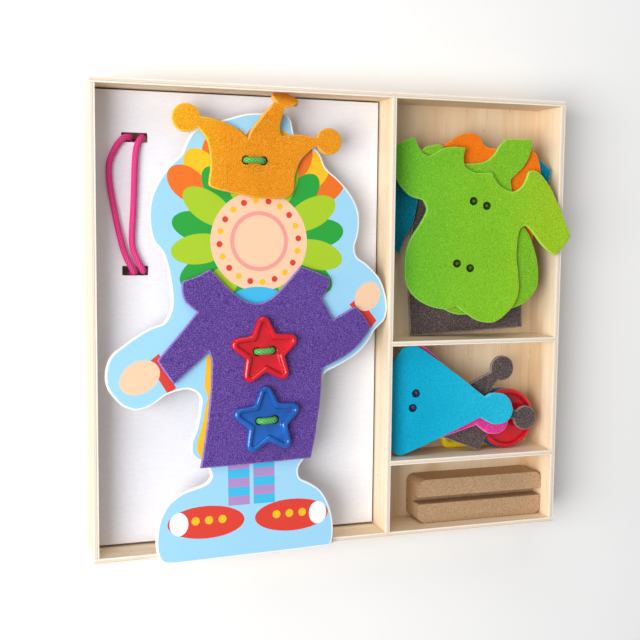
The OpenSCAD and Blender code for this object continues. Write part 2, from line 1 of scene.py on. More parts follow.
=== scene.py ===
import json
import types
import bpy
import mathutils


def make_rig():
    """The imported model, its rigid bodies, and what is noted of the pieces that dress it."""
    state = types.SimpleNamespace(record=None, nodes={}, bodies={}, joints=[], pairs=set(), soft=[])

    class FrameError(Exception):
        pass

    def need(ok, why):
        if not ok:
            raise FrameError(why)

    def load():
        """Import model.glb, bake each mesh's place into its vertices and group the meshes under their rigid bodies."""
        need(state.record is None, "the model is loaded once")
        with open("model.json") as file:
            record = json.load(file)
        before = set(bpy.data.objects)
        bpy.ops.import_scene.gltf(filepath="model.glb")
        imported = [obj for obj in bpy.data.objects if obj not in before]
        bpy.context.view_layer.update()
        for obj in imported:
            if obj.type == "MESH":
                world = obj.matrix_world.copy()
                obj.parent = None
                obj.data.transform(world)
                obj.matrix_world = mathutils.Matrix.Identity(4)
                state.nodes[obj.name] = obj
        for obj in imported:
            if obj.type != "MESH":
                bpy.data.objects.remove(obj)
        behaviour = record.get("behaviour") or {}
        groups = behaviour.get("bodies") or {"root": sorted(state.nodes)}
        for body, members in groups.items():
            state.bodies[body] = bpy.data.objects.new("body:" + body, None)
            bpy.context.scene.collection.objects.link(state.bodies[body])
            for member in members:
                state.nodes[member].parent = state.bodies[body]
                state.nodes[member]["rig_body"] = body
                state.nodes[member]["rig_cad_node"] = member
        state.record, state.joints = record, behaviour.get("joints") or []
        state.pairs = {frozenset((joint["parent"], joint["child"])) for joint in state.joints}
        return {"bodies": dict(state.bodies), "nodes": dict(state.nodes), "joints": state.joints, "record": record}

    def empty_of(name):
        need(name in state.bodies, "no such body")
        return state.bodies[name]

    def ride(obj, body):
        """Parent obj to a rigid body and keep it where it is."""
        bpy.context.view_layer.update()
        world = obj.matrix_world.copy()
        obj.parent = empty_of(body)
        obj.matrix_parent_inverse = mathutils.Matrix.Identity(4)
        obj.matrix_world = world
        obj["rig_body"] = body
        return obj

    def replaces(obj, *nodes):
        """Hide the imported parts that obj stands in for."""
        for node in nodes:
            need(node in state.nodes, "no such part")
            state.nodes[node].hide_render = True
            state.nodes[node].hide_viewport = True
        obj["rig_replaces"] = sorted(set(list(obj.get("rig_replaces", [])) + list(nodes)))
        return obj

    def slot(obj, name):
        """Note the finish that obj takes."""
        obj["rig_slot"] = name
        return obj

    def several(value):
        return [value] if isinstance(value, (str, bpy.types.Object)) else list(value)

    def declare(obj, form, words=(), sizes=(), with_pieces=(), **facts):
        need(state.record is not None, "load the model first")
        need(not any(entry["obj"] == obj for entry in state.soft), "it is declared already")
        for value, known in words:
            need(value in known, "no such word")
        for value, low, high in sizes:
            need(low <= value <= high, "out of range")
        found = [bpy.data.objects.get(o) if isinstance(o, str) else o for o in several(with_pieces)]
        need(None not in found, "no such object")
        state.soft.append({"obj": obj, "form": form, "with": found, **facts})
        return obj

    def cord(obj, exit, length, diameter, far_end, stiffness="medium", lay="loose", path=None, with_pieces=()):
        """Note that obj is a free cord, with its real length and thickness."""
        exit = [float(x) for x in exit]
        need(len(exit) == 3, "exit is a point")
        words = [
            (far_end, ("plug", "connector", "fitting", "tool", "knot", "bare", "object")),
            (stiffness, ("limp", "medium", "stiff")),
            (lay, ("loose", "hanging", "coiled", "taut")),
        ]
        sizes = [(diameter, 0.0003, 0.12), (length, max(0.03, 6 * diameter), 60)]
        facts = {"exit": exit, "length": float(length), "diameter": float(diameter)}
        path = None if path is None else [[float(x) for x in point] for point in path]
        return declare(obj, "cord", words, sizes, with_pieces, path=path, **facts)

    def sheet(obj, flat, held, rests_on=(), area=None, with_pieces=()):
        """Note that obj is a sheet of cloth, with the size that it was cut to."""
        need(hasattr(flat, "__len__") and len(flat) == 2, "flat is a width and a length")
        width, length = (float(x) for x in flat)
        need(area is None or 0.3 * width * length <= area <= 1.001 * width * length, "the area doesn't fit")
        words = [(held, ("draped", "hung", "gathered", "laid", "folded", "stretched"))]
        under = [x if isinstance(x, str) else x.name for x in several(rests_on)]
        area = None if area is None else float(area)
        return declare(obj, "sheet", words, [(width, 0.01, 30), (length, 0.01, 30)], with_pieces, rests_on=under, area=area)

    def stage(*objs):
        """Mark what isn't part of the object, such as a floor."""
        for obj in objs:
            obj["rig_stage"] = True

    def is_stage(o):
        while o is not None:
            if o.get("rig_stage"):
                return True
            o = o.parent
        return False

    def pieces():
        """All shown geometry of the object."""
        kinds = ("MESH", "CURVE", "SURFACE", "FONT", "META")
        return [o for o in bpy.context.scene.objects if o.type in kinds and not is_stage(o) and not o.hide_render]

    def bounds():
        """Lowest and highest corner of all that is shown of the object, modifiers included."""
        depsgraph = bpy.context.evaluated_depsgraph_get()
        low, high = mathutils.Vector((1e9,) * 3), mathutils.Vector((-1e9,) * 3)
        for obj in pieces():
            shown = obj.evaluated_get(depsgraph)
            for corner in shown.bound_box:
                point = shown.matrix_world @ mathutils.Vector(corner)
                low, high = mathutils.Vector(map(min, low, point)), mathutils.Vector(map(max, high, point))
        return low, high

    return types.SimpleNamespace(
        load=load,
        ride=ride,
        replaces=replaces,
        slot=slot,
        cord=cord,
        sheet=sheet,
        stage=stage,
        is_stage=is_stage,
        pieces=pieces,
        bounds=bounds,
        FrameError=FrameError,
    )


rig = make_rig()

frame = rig.load()

import json
import math

import bmesh
import bpy
from mathutils import Matrix, Vector, noise
from mathutils.geometry import delaunay_2d_cdt

cad_lo, cad_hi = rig.bounds()
scene = bpy.context.scene
scene.view_settings.view_transform = "Standard"
MM = 0.001

# ---- camera ------------------------------------------------------------------
cam = bpy.data.objects.new("camera", bpy.data.cameras.new("camera"))
scene.collection.objects.link(cam)
cam.data.sensor_fit = "HORIZONTAL"
cam.data.sensor_width = 36.0
cam.data.lens = 57.88
cam.data.clip_start = 0.01
cam.matrix_world = Matrix((
    (0.94730, 0.02041, -0.31970, -0.198357),
    (0.01022, 0.99554, 0.09383, 0.054670),
    (0.32019, -0.09215, 0.94286, 0.576272),
    (0, 0, 0, 1)))
scene.camera = cam


# ---- small helpers -------------------------------------------------------------
def V2(x, y):
    return Vector((x, y))


def lin(r, g, b):
    """An sRGB colour, 0 to 255, as linear RGBA."""
    def one(c):
        c = c / 255.0
        return c / 12.92 if c <= 0.04045 else ((c + 0.055) / 1.055) ** 2.4
    return (one(r), one(g), one(b), 1.0)


def shade(c, k):
    return (min(1, c[0] * k), min(1, c[1] * k), min(1, c[2] * k), 1.0)


def smoothstep(a, b, x):
    t = min(1.0, max(0.0, (x - a) / (b - a)))
    return t * t * (3 - 2 * t)


def hill(x, y, scale, seed):
    return noise.noise(Vector((x * scale, y * scale, seed)))


# ---- materials -------------------------------------------------------------------
class Nodes:
    """A Principled material with short calls for its nodes."""

    def __init__(self, name, **sockets):
        self.mat = bpy.data.materials.new(name)
        self.mat.use_nodes = True
        self.nt = self.mat.node_tree
        self.bsdf = self.nt.nodes["Principled BSDF"]
        for k, v in sockets.items():
            self.bsdf.inputs[k.replace("_", " ")].default_value = v
        self.co = self.nt.nodes.new("ShaderNodeTexCoord").outputs["Object"]

    def link(self, a, b):
        self.nt.links.new(a, b)

    def out(self, socket, name):
        self.link(socket, self.bsdf.inputs[name])

    def mapped(self, scale, rot=(0, 0, 0)):
        n = self.nt.nodes.new("ShaderNodeMapping")
        n.inputs["Scale"].default_value = scale
        n.inputs["Rotation"].default_value = rot
        self.link(self.co, n.inputs["Vector"])
        return n.outputs["Vector"]

    def noise(self, scale, detail=2.0, rough=0.5, co=None, warp=0.0):
        n = self.nt.nodes.new("ShaderNodeTexNoise")
        n.inputs["Scale"].default_value = scale
        n.inputs["Detail"].default_value = detail
        n.inputs["Roughness"].default_value = rough
        n.inputs["Distortion"].default_value = warp
        self.link(co or self.co, n.inputs["Vector"])
        return n.outputs["Fac"]

    def voronoi(self, scale, co=None, feature="F1"):
        n = self.nt.nodes.new("ShaderNodeTexVoronoi")
        n.feature = feature
        n.inputs["Scale"].default_value = scale
        self.link(co or self.co, n.inputs["Vector"])
        return n.outputs["Distance"]

    def ramp(self, fac, stops):
        n = self.nt.nodes.new("ShaderNodeValToRGB")
        e = n.color_ramp.elements
        while len(e) < len(stops):
            e.new(0.5)
        for el, (p, c) in zip(e, stops):
            el.position = p
            el.color = c
        self.link(fac, n.inputs["Fac"])
        return n.outputs["Color"]

    def grey(self, fac, stops):
        return self.ramp(fac, [(p, (v, v, v, 1)) for p, v in stops])

    def mix(self, fac, a, b, mode="MIX"):
        n = self.nt.nodes.new("ShaderNodeMix")
        n.data_type = "RGBA"
        n.blend_type = mode
        for i, v in ((0, fac), (6, a), (7, b)):
            if hasattr(v, "default_value") or hasattr(v, "is_output"):
                self.link(v, n.inputs[i])
            else:
                n.inputs[i].default_value = v
        return n.outputs[2]

    def math(self, op, a, b=0.0, c=0.0):
        n = self.nt.nodes.new("ShaderNodeMath")
        n.operation = op
        for i, v in enumerate((a, b, c)):
            if hasattr(v, "is_output"):
                self.link(v, n.inputs[i])
            else:
                n.inputs[i].default_value = v
        return n.outputs[0]

    def bump(self, height, strength, dist, under=None):
        n = self.nt.nodes.new("ShaderNodeBump")
        n.inputs["Strength"].default_value = strength
        n.inputs["Distance"].default_value = dist
        self.link(height, n.inputs["Height"])
        if under is not None:
            self.link(under, n.inputs["Normal"])
        return n.outputs["Normal"]

    def xyz(self, co=None):
        n = self.nt.nodes.new("ShaderNodeSeparateXYZ")
        self.link(co or self.co, n.inputs[0])
        return n.outputs

    def attribute(self, name):
        n = self.nt.nodes.new("ShaderNodeAttribute")
        n.attribute_name = name
        return n.outputs["Fac"]


def felt_material(name, rgb, light, dark, grain=1.0, dye_and_shade=None):
    """Pressed wool felt: matted fibres in clearly different tones, dull, with a soft sheen.
    dye_and_shade = (axis, from, to, stops) multiplies the colour along one axis: a dye change on the orange felt,
    painted shade of the long divider on the left part of the green and blue felts."""
    c, hi, lo = lin(*rgb), lin(*light), lin(*dark)
    m = Nodes(name, Roughness=0.95, Sheen_Weight=0.16, Sheen_Roughness=0.45)
    m.bsdf.inputs["Specular IOR Level"].default_value = 0.12
    m.bsdf.inputs["Sheen Tint"].default_value = hi
    fine = m.noise(1800, 2.0, 0.6, warp=0.3)
    fibre = m.noise(1.0, 3.0, 0.6, co=m.mapped((2300, 480, 900), (0.3, 0.2, 0.6)), warp=0.8)
    broad = m.noise(46, 3.0, 0.55)
    w = 0.145 / grain
    tone = m.ramp(fine, [(0.5 - w, lo), (0.5, c), (0.5 + w, hi)])
    tone = m.mix(0.3, tone, m.ramp(fibre, [(0.3, lo), (0.52, c), (0.76, hi)]))
    tone = m.mix(0.5, tone, m.grey(broad, [(0.3, 0.86), (0.7, 1.0)]), "MULTIPLY")
    # colour multiplied along one axis: a dye change on the orange, painted shade on the left part of the green and
    # blue
    if dye_and_shade:
        axis, x0, x1, stops = dye_and_shade
        f = m.nt.nodes.new("ShaderNodeMapRange")
        f.inputs["From Min"].default_value = x0
        f.inputs["From Max"].default_value = x1
        m.link(m.xyz()[axis], f.inputs["Value"])
        tone = m.mix(1.0, tone, m.ramp(f.outputs["Result"], [(q, (*k, 1)) for q, k in stops]), "MULTIPLY")
    m.out(tone, "Base Color")
    first = m.bump(fine, 0.6, 0.0006)
    m.out(m.bump(fibre, 0.35, 0.0004, first), "Normal")
    return m.mat


def plastic_material(name, rgb, deep):
    """Glossy moulded plastic with faint flow marks and handling scuffs."""
    m = Nodes(name, Roughness=0.2, IOR=1.5, Coat_Weight=0.25, Coat_Roughness=0.08)
    m.bsdf.inputs["Specular IOR Level"].default_value = 0.6
    flow = m.noise(55, 3.0, 0.5, warp=1.2)
    m.out(m.ramp(flow, [(0.25, lin(*deep)), (0.75, lin(*rgb))]), "Base Color")
    scuff = m.noise(1.0, 4.0, 0.6, co=m.mapped((190, 900, 300), (0, 0, 0.5)))
    m.out(m.grey(scuff, [(0.35, 0.07), (0.62, 0.1), (0.75, 0.22)]), "Roughness")
    m.out(m.bump(m.noise(420, 2.0, 0.5), 0.05, 0.0003), "Normal")
    return m.mat


def print_material(name, rgb):
    """Printed and lacquered face of the board: flat ink over fine sanding marks."""
    c = lin(*rgb)
    m = Nodes(name, Roughness=0.56, Coat_Weight=0.04, Coat_Roughness=0.35)
    ink = m.noise(700, 3.0, 0.6)
    cloud = m.noise(28, 2.0, 0.5)
    tone = m.mix(0.55, m.ramp(ink, [(0.3, shade(c, 0.955)), (0.7, shade(c, 1.03))]),
                 m.ramp(cloud, [(0.3, shade(c, 0.965)), (0.7, c)]))
    m.out(tone, "Base Color")
    sand = m.noise(1.0, 3.0, 0.6, co=m.mapped((1500, 120, 300)))
    m.out(m.grey(sand, [(0.3, 0.48), (0.7, 0.62)]), "Roughness")
    m.out(m.bump(sand, 0.06, 0.0002), "Normal")
    return m.mat


def lace_material(name, rgb, light, deep):
    """Braided round lace: colour follows the braid's relief, lighter on the strand tops as painted light and dark
    between the strands as painted shade.
    """
    m = Nodes(name, Roughness=0.72, Sheen_Weight=0.25, Sheen_Roughness=0.4)
    m.bsdf.inputs["Sheen Tint"].default_value = lin(*light)
    rel = m.attribute("relief")
    relief_shade = m.ramp(rel, [(0.12, lin(*deep)), (0.45, lin(*rgb)), (0.95, lin(*light))])
    yarn = m.noise(2600, 3.0, 0.65)
    m.out(m.mix(0.5, relief_shade, m.grey(yarn, [(0.3, 0.72), (0.7, 1.0)]), "MULTIPLY"), "Base Color")
    m.out(m.bump(yarn, 0.5, 0.0003), "Normal")
    return m.mat


def tip_material(name, rgb):
    """Heat-sealed end of a lace: stiff, smooth and a little clear."""
    m = Nodes(name, Roughness=0.25, Coat_Weight=0.4, Coat_Roughness=0.1)
    n = m.noise(900, 3.0, 0.6)
    m.out(m.ramp(n, [(0.3, shade(lin(*rgb), 0.7)), (0.7, shade(lin(*rgb), 1.1))]), "Base Color")
    m.out(m.bump(n, 0.1, 0.0003), "Normal")
    return m.mat


def card_material():
    """White folding card, uncoated, with short fibres and slight unevenness; grey board inside."""
    m = Nodes("white_card_look", Roughness=0.82)
    m.bsdf.inputs["Specular IOR Level"].default_value = 0.3
    fibre = m.noise(1.0, 4.0, 0.6, co=m.mapped((260, 900, 500), (0, 0, 0.4)), warp=0.5)
    cloud = m.noise(16, 3.0, 0.5)
    tone = m.mix(0.5, m.ramp(fibre, [(0.3, lin(232, 233, 242)), (0.7, lin(245, 245, 250))]),
                 m.ramp(cloud, [(0.3, lin(233, 234, 243)), (0.7, lin(246, 246, 251))]))
    grey = m.ramp(fibre, [(0.3, lin(104, 94, 88)), (0.7, lin(132, 122, 114))])
    f = m.nt.nodes.new("ShaderNodeMapRange")
    f.inputs["From Min"].default_value = 0.0120
    f.inputs["From Max"].default_value = 0.0133
    x, y, z = m.xyz()
    m.link(z, f.inputs["Value"])
    # the folded sides are grey board inside; outside they are white card greyed below the top's white, painted shade
    # for the narrow gaps by the walls
    side = m.math("MAXIMUM", m.math("GREATER_THAN", m.math("ABSOLUTE", m.math("ADD", x, 0.05475)), 0.08115),
                  m.math("GREATER_THAN", m.math("ABSOLUTE", m.math("SUBTRACT", y, 0.00025)), 0.12375))
    shaded_flap = m.ramp(fibre, [(0.3, lin(196, 196, 203)), (0.7, lin(216, 216, 222))])
    m.out(m.mix(f.outputs["Result"], m.mix(side, grey, shaded_flap), tone), "Base Color")
    m.out(m.bump(cloud, 0.12, 0.002, m.bump(fibre, 0.12, 0.0002)), "Normal")
    return m.mat


def fibreboard_material():
    """Bare fibreboard: brown with fine pale and dark fibres."""
    m = Nodes("fibreboard_look", Roughness=0.86)
    m.bsdf.inputs["Specular IOR Level"].default_value = 0.2
    fine = m.noise(1300, 4.0, 0.7)
    bits = m.voronoi(850)
    broad = m.noise(60, 3.0, 0.6)
    tone = m.ramp(fine, [(0.3, lin(132, 99, 71)), (0.5, lin(180, 146, 111)), (0.7, lin(213, 183, 147))])
    tone = m.mix(0.45, tone, m.ramp(bits, [(0.05, lin(116, 84, 60)), (0.35, lin(192, 158, 122)), (0.8, lin(204, 172, 136))]))
    tone = m.mix(0.5, tone, m.grey(broad, [(0.3, 0.86), (0.7, 1.0)]), "MULTIPLY")
    m.out(tone, "Base Color")
    m.out(m.bump(fine, 0.35, 0.0004), "Normal")
    return m.mat


def ply_material(name, axis, lo, hi, grain, line=0.68):
    """Three-ply birch: veneer on the faces, stripes of the plies on the cut edges.
    axis is the one through the thickness, from lo to hi in metres, and grain the veneer's own.
    line is where the clearer of the two glue lines lies: that glue line is darkened with painted shade of the recessed
    middle ply, on the side away from the light."""
    m = Nodes(name, Roughness=0.62)
    m.bsdf.inputs["Specular IOR Level"].default_value = 0.35
    along, across = 9.0, 210.0
    sc = [across, across, across]
    sc[grain] = along
    grain_co = m.mapped(sc)
    g1 = m.noise(1.0, 5.0, 0.62, co=grain_co, warp=0.35)
    sc2 = [900.0, 900.0, 900.0]
    sc2[grain] = 30.0
    pores = m.noise(1.0, 2.0, 0.5, co=m.mapped(sc2))
    cloud = m.noise(13, 2.0, 0.5)
    face = m.ramp(g1, [(0.27, lin(231, 208, 179)), (0.5, lin(246, 230, 207)), (0.73, lin(252, 243, 227))])
    face = m.mix(0.5, face, m.ramp(pores, [(0.22, lin(212, 182, 148)), (0.36, lin(247, 232, 209)), (0.8, lin(252, 242, 224))]))
    face = m.mix(0.6, face, m.ramp(cloud, [(0.3, lin(248, 236, 218)), (0.7, lin(255, 252, 246))]), "MULTIPLY")
    wide = [34.0, 34.0, 34.0]
    wide[grain] = 2.5
    band = m.noise(1.0, 1.5, 0.5, co=m.mapped(wide))
    face = m.mix(0.8, face, m.ramp(band, [(0.36, lin(240, 222, 198)), (0.46, lin(252, 245, 233)), (0.62, lin(255, 253, 249))]), "MULTIPLY")
    fleck = m.noise(300, 1.0, 0.4)
    face = m.mix(m.grey(fleck, [(0.74, 0.0), (0.79, 0.4)]), face, lin(176, 138, 100))
    # cut edge: pale outer plies, a darker middle one and thin glue lines; one glue line is darkened further as painted
    # shade
    t = m.xyz()[axis]
    f = m.nt.nodes.new("ShaderNodeMapRange")
    f.inputs["From Min"].default_value = lo
    f.inputs["From Max"].default_value = hi
    wob = m.math("MULTIPLY_ADD", m.noise(130, 2.0, 0.5), 0.0002, -0.0001)
    m.link(m.math("ADD", t, wob), f.inputs["Value"])
    # clear is a glue line with painted shade added, faint a plain glue line
    clear, faint = lin(176, 160, 158), lin(228, 208, 190)
    edge = m.ramp(f.outputs["Result"], [
        (0.0, lin(252, 242, 226)), (0.26, lin(253, 245, 231)), (0.32, faint if line > 0.5 else clear), (0.38, lin(240, 222, 200)),
        (0.62, lin(240, 222, 200)), (0.68, clear if line > 0.5 else faint), (0.74, lin(253, 245, 231)), (1.0, lin(252, 242, 226))])
    endg = m.noise(1.0, 3.0, 0.6, co=m.mapped((700, 700, 900)))
    edge = m.mix(0.5, edge, m.grey(endg, [(0.3, 0.88), (0.65, 1.0)]), "MULTIPLY")
    geo = m.nt.nodes.new("ShaderNodeNewGeometry")
    n = m.xyz(geo.outputs["True Normal"])[axis]
    is_face = m.math("GREATER_THAN", m.math("ABSOLUTE", n), 0.75)
    m.out(m.mix(is_face, edge, face), "Base Color")
    m.out(m.bump(g1, 0.12, 0.0004, m.bump(pores, 0.15, 0.0002)), "Normal")
    m.out(m.grey(g1, [(0.3, 0.55), (0.7, 0.7)]), "Roughness")
    return m.mat


# ---- outlines ------------------------------------------------------------------
def crv(a, b, c, d, t):
    return 0.5 * (2 * b + (c - a) * t + (2 * a - 5 * b + 4 * c - d) * t * t + (3 * b - a - 3 * c + d) * t * t * t)


def smooth(p, k=6):
    n = len(p)
    q = [Vector(x[:2]) for x in p]
    corner = [len(x) > 2 for x in p]
    out = []
    for i in range(n):
        b, c = q[i], q[(i + 1) % n]
        a = 2 * b - c if corner[i] else q[i - 1]
        d = 2 * c - b if corner[(i + 1) % n] else q[(i + 2) % n]
        out += [crv(a, b, c, d, j / k) for j in range(k)]
    return out


def circle(x, y, r, n=28):
    return [V2(x + r * math.cos(2 * math.pi * i / n), y + r * math.sin(2 * math.pi * i / n)) for i in range(n)]


def ellipse(x, y, a, b, turn=0.0, n=36):
    c, s = math.cos(math.radians(turn)), math.sin(math.radians(turn))
    out = []
    for i in range(n):
        u, v = a * math.cos(2 * math.pi * i / n), b * math.sin(2 * math.pi * i / n)
        out.append(V2(x + u * c - v * s, y + u * s + v * c))
    return out


def area(p):
    return 0.5 * sum(p[i - 1].x * p[i].y - p[i].x * p[i - 1].y for i in range(len(p)))


def ccw(p):
    return p if area(p) > 0 else p[::-1]


def inside(p, x, y):
    hit = False
    j = len(p) - 1
    for i in range(len(p)):
        a, b = p[i], p[j]
        if (a.y > y) != (b.y > y) and x < (b.x - a.x) * (y - a.y) / (b.y - a.y) + a.x:
            hit = not hit
        j = i
    return hit


def inset(p, d):
    """The loop moved by d into the material, which lies to its left."""
    n = len(p)
    out = []
    for i in range(n):
        e1 = (p[i] - p[i - 1]).normalized()
        e2 = (p[(i + 1) % n] - p[i]).normalized()
        n1, n2 = V2(-e1.y, e1.x), V2(-e2.y, e2.x)
        m = n1 + n2
        m = m.normalized() if m.length > 1e-5 else n1
        out.append(p[i] + m * (d / max(0.55, m.dot(n1))))
    return out


def thin_out(p, step):
    """Drops points that crowd closer than step."""
    out = [p[0]]
    for q in p[1:]:
        if (q - out[-1]).length >= step:
            out.append(q)
    if (out[-1] - out[0]).length < step:
        out.pop()
    return out


def union(polys):
    """Outline of several overlapping loops, as one loop."""
    verts, edges = [], []
    for p in polys:
        k = len(verts)
        verts += p
        edges += [(k + i, k + (i + 1) % len(p)) for i in range(len(p))]
    co, _, faces, *_ = delaunay_2d_cdt(verts, edges, [], 0, 1e-6)
    nxt = {}
    seen = {}
    for f in faces:
        c = sum((co[i] for i in f), V2(0, 0)) / len(f)
        if any(inside(p, c.x, c.y) for p in polys):
            for i in range(len(f)):
                seen[(f[i], f[(i + 1) % len(f)])] = True
    for a, b in seen:
        if (b, a) not in seen:
            nxt[a] = b
    start = min(nxt)
    loop, at = [start], nxt[start]
    while at != start:
        loop.append(at)
        at = nxt[at]
    return ccw(thin_out([co[i] for i in loop], 0.25))


def cap(loops, points, extra=()):
    """Triangles of the region between loops, with inner points and extra loops drawn into it.
    Returns 2-D vertices, triangles, and for each input vertex its index."""
    verts, edges = [], []
    for p in list(loops) + list(extra):
        k = len(verts)
        verts += p
        edges += [(k + i, k + (i + 1) % len(p)) for i in range(len(p))]
    verts = verts + list(points)
    co, _, faces, orig, *_ = delaunay_2d_cdt(verts, edges, [], 0, 1e-6)
    keep = []
    for f in faces:
        c = sum((co[i] for i in f), V2(0, 0)) / len(f)
        if abs(area([co[i] for i in f])) < 1e-5:
            continue
        if inside(loops[0], c.x, c.y) and not any(inside(h, c.x, c.y) for h in loops[1:]):
            keep.append(tuple(f) if area([co[i] for i in f]) > 0 else tuple(f)[::-1])
    where = {}
    for i, o in enumerate(orig):
        for j in o:
            where[j] = i
    return co, keep, where


def grid_points(loops, step, clear):
    lo_x, hi_x = min(p.x for p in loops[0]), max(p.x for p in loops[0])
    lo_y, hi_y = min(p.y for p in loops[0]), max(p.y for p in loops[0])
    edge = [p for l in loops for p in l]
    out = []
    row, y = 0, lo_y
    while y < hi_y:
        x = lo_x + (step / 2 if row % 2 else 0)
        while x < hi_x:
            if inside(loops[0], x, y) and not any(inside(h, x, y) for h in loops[1:]):
                if all((p.x - x) ** 2 + (p.y - y) ** 2 > clear * clear for p in edge):
                    out.append(V2(x, y))
            x += step
        y += step * 0.866
        row += 1
    return out


def off_edges(points, loops, d):
    """The points that lie at least d away from every side of the loops."""
    out = []
    for q in points:
        near = False
        for l in loops:
            for a, b in zip(l, l[1:] + l[:1]):
                e = b - a
                t = min(1.0, max(0.0, (q - a).dot(e) / max(e.dot(e), 1e-12)))
                if (a + e * t - q).length < d:
                    near = True
                    break
            if near:
                break
        if not near:
            out.append(q)
    return out


def make_mesh(name, verts, faces, mats, index):
    me = bpy.data.meshes.new(name)
    me.from_pydata([v * MM for v in verts], [], faces)
    for m in mats:
        me.materials.append(m)
    me.polygons.foreach_set("material_index", index)
    me.polygons.foreach_set("use_smooth", [True] * len(faces))
    me.update()
    me.validate()
    o = bpy.data.objects.new(name, me)
    scene.collection.objects.link(o)
    return o


def slab(name, outline, holes, t, r, place, mats, step=4.0, rough=0.0, paint=None, extra=(), turns=3, waist=0.0):
    """A flat cut piece with soft edges and round holes. place puts (x, y, z) where it lies.
    mats: face, edge and hole, or, with paint, a function of x and y, what it picks for the upper face.
    waist is how far loose fibres close a hole half-way down."""
    outer = ccw(outline)
    loops = [outer] + [circle(x, y, rr, 24)[::-1] for x, y, rr in holes]
    prof = [(r * (1 - math.sin(a)), r * (1 - math.cos(a)))
            for a in [math.pi / 2 * i / turns for i in range(turns + 1)]]
    prof = prof + [(o, t - z) for o, z in prof[::-1]]
    lip = min(r, 0.3)
    bore = [(lip * o / r, lip * z / r) for o, z in prof[:turns + 1]]
    if waist:
        bore += [(-0.55 * waist, 0.26 * t), (-waist, 0.42 * t)]
    bore = bore + [(o, t - z) for o, z in bore[::-1]]
    inner = [inset(outer, r)] + [circle(x, y, rr + lip, 24)[::-1] for x, y, rr in holes]
    soft = [q for l in [inset(outer, r + 0.9)] + [circle(x, y, rr + lip + 0.9, 24) for x, y, rr in holes]
            for q in l if inside(inner[0], q.x, q.y)]
    pts = grid_points(inner, step, step * 0.45)
    soft = [q for q in thin_out(soft, 1.2) if all((q - p).length > 0.5 for p in inner[0])
            and not any(inside(h, q.x, q.y) for h in inner[1:])]
    co, tris, where = cap(inner, soft + pts, extra)
    verts, faces, index = [], [], []
    ring_id = []
    k = 0
    for li, l in enumerate(loops):
        rings = []
        for off, z in bore if li else prof:
            if li:
                x, y, rr = holes[li - 1]
                loop = circle(x, y, rr + off, 24)[::-1]
            else:
                loop = inset(l, off) if off > 1e-6 else l
            ids = []
            for j, q in enumerate(loop):
                wob = rough * noise.noise(Vector((q.x * 1.7, q.y * 1.7, li + 3.0))) if off < (lip if li else r) * 0.9 else 0.0
                ids.append(len(verts))
                verts.append(place(q.x + wob, q.y + wob * 0.7, z))
            rings.append(ids)
        ring_id.append(rings)
        n = len(l)
        # felt hole walls take the third material, a near-black painted shade
        for a, b in list(zip(rings, rings[1:]))[1:-1]:
            for j in range(n):
                faces.append((a[j], a[(j + 1) % n], b[(j + 1) % n], b[j]))
                index.append(2 if li and not paint else 1)
    follow = {}
    used = {(f[i], f[(i + 1) % 3]) for f in tris for i in range(3)}
    for a, b in used:
        if (b, a) not in used:
            follow[a] = b
    for top in (False, True):
        ids = {}
        base = 0
        for li, l in enumerate(loops):
            for j in range(len(l)):
                ids[where[base + j]] = ring_id[li][-1 if top else 0][j]
            base += len(l)
        for i, q in enumerate(co):
            if i not in ids:
                ids[i] = None
        for f in tris:
            g = []
            for i in f:
                if ids[i] is None:
                    ids[i] = len(verts)
                    verts.append(place(co[i].x, co[i].y, t if top else 0.0))
                g.append(ids[i])
            faces.append(tuple(g) if top else tuple(g)[::-1])
            c = sum((co[i] for i in f), V2(0, 0)) / 3
            index.append(paint(c.x, c.y) if (paint and top) else (0 if top or not paint else 1))
        # the strip next to the face, which takes in points that were drawn on to its rim
        base = 0
        for li, l in enumerate(loops):
            rings, n = ring_id[li], len(l)
            for j in range(n):
                k = (j + 1) % n
                mid, i = [], follow.get(where[base + j])
                while i is not None and i != where[base + k] and len(mid) < 40:
                    mid.append(ids[i])
                    i = follow.get(i)
                if i != where[base + k]:
                    print("rim not followed", name, l[j])
                    mid = []
                if top:
                    faces.append((rings[-2][j], rings[-2][k], rings[-1][k], *mid[::-1], rings[-1][j]))
                else:
                    faces.append((rings[0][j], *mid, rings[0][k], rings[1][k], rings[1][j]))
                index.append(1 if paint or not li else 0)
            base += n
    return make_mesh(name, verts, faces, mats, index)


